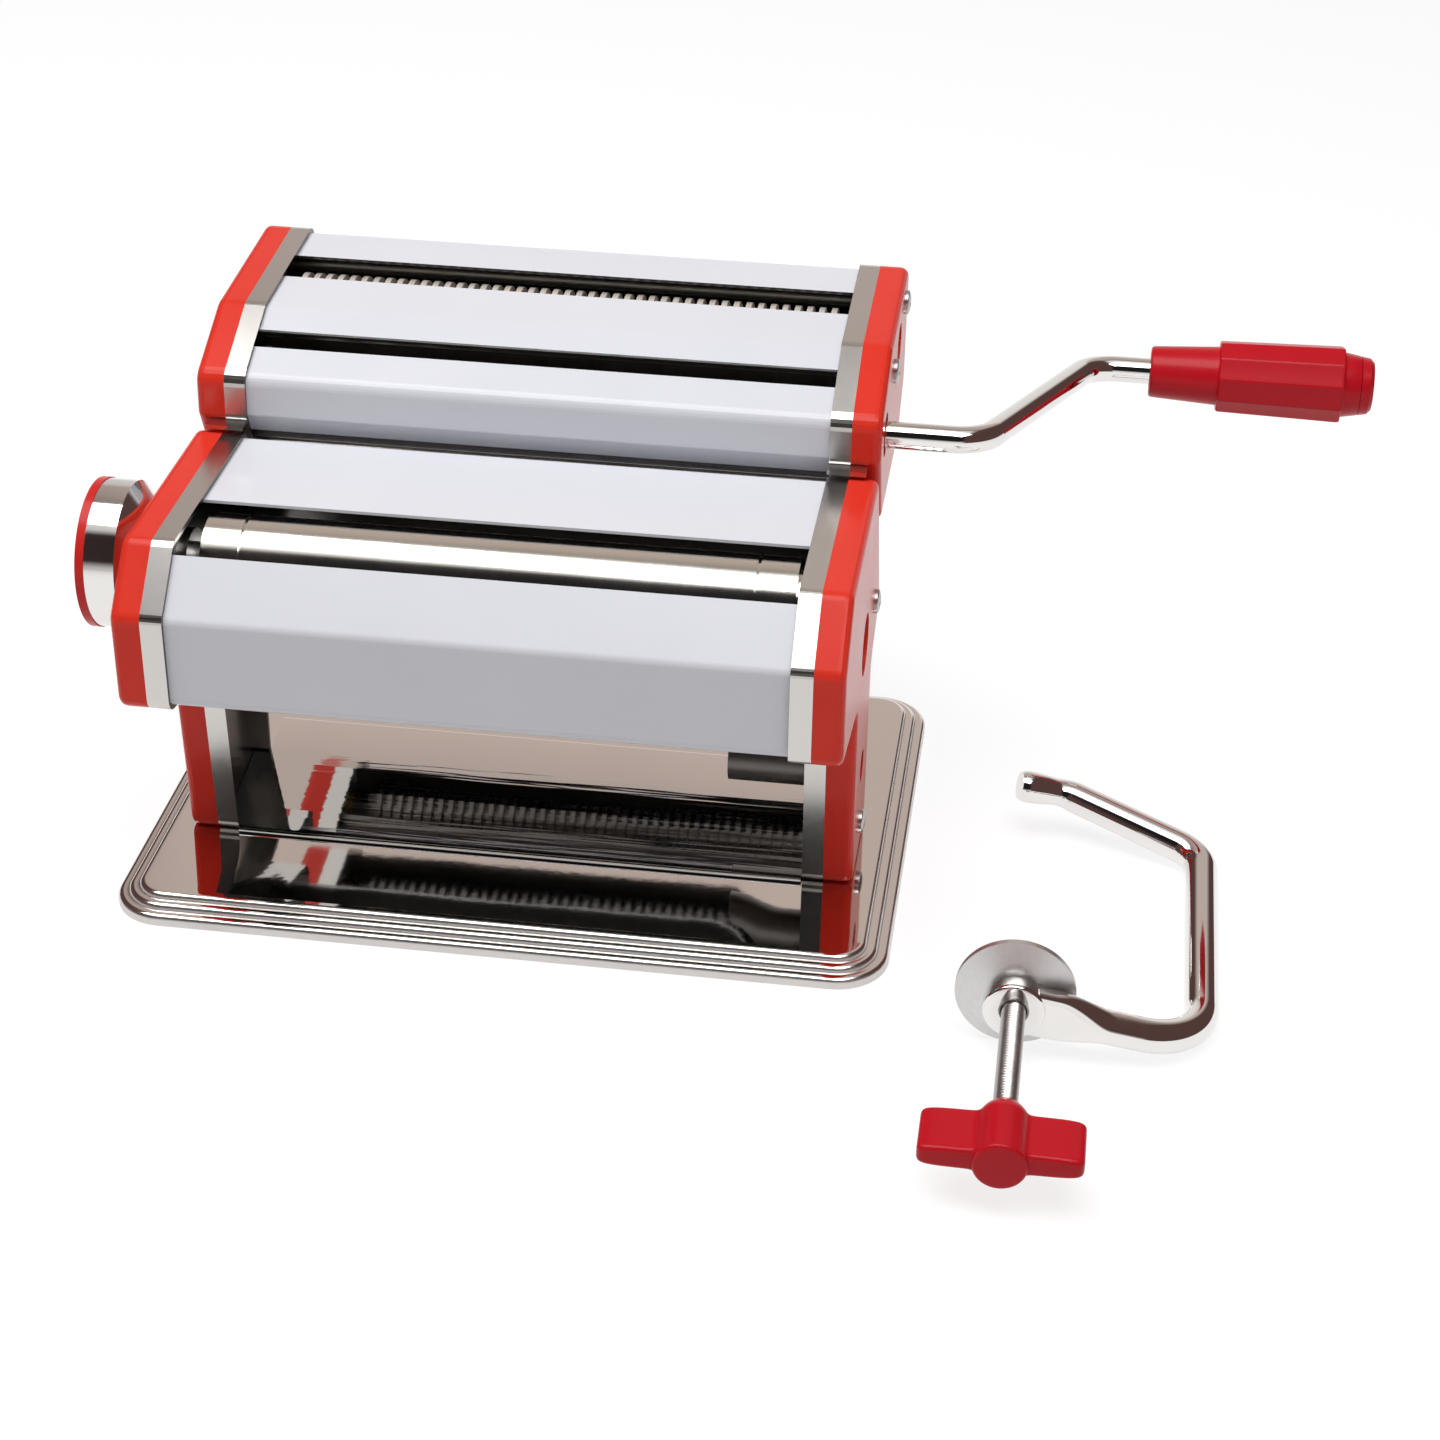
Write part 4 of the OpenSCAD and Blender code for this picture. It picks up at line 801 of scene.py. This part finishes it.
wall_out = np.sign(np.cos(ring_side)) * np.abs(np.cos(ring_side)) ** eye_corner
wall_out = (eye_r + eye_bore) / 2 + wall_half * wall_out
wall_up = eye_half * np.sign(np.sin(ring_side)) * np.abs(np.sin(ring_side)) ** eye_corner
eye_points = (clamp_origin + (wall_out * np.cos(ring_turn))[..., None] * to_back
              + (wall_out * np.sin(ring_turn))[..., None] * hook_upright + wall_up[..., None] * to_jaw)
eye_points = np.concatenate([eye_points, eye_points[:1]])
clamp_hook = surface("clamp_hook", [hook_points, eye_points], "clamp", rod_chrome)
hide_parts("clamp_frame")


# Clamp screw: a rolled two-start thread on a steel bar, with a plain pilot that carries the pad.
# Its radius dips by the thread's depth as a triangle wave that climbs one lead for each turn.
screw_low, screw_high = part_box("clamp_screw")
screw_r = (screw_high.z - screw_low.z) / 2
screw_axis = np.array([(screw_low.x + screw_high.x) / 2, 0, (screw_low.z + screw_high.z) / 2])
thread_lead = 0.002
thread_starts = 2
thread_depth = 0.00042
pilot_r = screw_r - 0.0007
pilot_len = 0.0022
thread_rows = 520
thread_sides = 40
thread_end = screw_high.y - pilot_len
thread_turn = np.linspace(0, 2 * math.pi, thread_sides, endpoint=False)
thread_y, around = np.meshgrid(np.linspace(screw_low.y, thread_end, thread_rows), thread_turn, indexing="ij")
wave = (thread_y / thread_lead - around / (2 * math.pi)) * thread_starts
thread_r = screw_r - thread_depth * np.abs(2 * (wave % 1) - 1)
head_ring = np.repeat([[screw_low.y, 0.0]], thread_sides, axis=0)[None]
pilot_line = np.array([[thread_end, pilot_r], [screw_high.y, pilot_r], [screw_high.y, 0.0]])
pilot_rings = np.repeat(pilot_line[:, None], thread_sides, axis=1)
screw_rings = np.concatenate([head_ring, np.stack([thread_y, thread_r], -1), pilot_rings])
thread_points = screw_axis + np.stack([screw_rings[..., 1] * np.cos(thread_turn), screw_rings[..., 0],
                                       screw_rings[..., 1] * np.sin(thread_turn)], -1)
clamp_thread = surface("clamp_thread", [thread_points], "spindle", bar_steel)
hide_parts("clamp_screw")


# Winged handle: red plastic moulded onto the screw, two flat wings that run softly into a tapered hub.
# Its section is the larger of a round hub and a rounded bar, eased where they meet.
wing_red = moulded_red("wing_red", deep=crimson, bright=light_crimson, gloss=0.24)
wing_low, wing_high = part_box("clamp_wing")
hub_r = 0.0065
hub_tip_r = 0.0040
hub_cone = 0.006
hub_len = wing_high.y - wing_low.y
wing_half = (wing_high.x - wing_low.x) / 2
wing_t = 0.0030
wing_from = 0.0040
wing_to = wing_from + 0.0155
corner_r = 0.0020
edge_r = 0.0012
tail_r = 0.0010
tip_run = 0.0010
wing_step = 0.0006
wing_cut = 1e-5
thin = 1e-4
steps = np.concatenate([[0, 0.2 * tip_run, 0.6 * tip_run], np.linspace(tip_run, wing_from - wing_cut, 8),
                        wing_from + corner_r * (1 - np.cos(quarter)),
                        np.linspace(wing_from + corner_r + wing_step, wing_to - corner_r - wing_step, 14),
                        wing_to - corner_r * (1 - np.cos(quarter[::-1])),
                        wing_to + wing_cut + np.linspace(0, hub_len - wing_to - tail_r, 4),
                        hub_len - tail_r * (1 - np.sin(np.linspace(0.3, math.pi / 2, 5)))])
cone = hub_tip_r + (hub_r - hub_tip_r) * np.sin(steps / hub_cone * math.pi / 2)
tail = np.clip((steps - hub_len + tail_r) / tail_r, 0, 1)
hub = np.where(steps < hub_cone, cone, hub_r) - tail_r * (1 - np.sqrt(1 - tail ** 2))
inside = np.clip(np.minimum(steps - wing_from, wing_to - steps), 0, corner_r)
on_wing = (steps >= wing_from - hair) & (steps <= wing_to + hair)
reach = np.where(on_wing, wing_half - corner_r + np.sqrt(corner_r ** 2 - (corner_r - inside) ** 2), thin)
slim = np.clip(inside, 0, edge_r)
thick = np.where(on_wing, wing_t - edge_r + np.sqrt(edge_r ** 2 - (edge_r - slim) ** 2), thin)
wing_sides = 176
crowding = 0.42
even_turn = np.linspace(0, 2 * math.pi, wing_sides, endpoint=False)
wing_turn = even_turn - crowding * np.sin(2 * even_turn)
sideward = np.abs(np.cos(wing_turn))[None]
upward = np.abs(np.sin(wing_turn))[None]
bar_power = 6
hub_power = 9
bar = ((sideward / reach[:, None]) ** bar_power + (upward / thick[:, None]) ** bar_power) ** (-1 / bar_power)
wing_r = (bar ** hub_power + hub[:, None] ** hub_power) ** (1 / hub_power)
wing_r = np.minimum(wing_r, wing_half / np.maximum(sideward, 1e-6))
wing_r = np.pad(wing_r, ((1, 1), (0, 0)))
steps = np.pad(steps, 1, mode="edge")
wing_points = np.stack([(wing_low.x + wing_high.x) / 2 + wing_r * np.cos(wing_turn),
                        np.repeat(wing_high.y - steps[:, None], wing_sides, axis=1),
                        (wing_low.z + wing_high.z) / 2 + wing_r * np.sin(wing_turn)], -1)
clamp_handle = surface("clamp_handle", [wing_points], "spindle", wing_red)
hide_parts("clamp_wing")
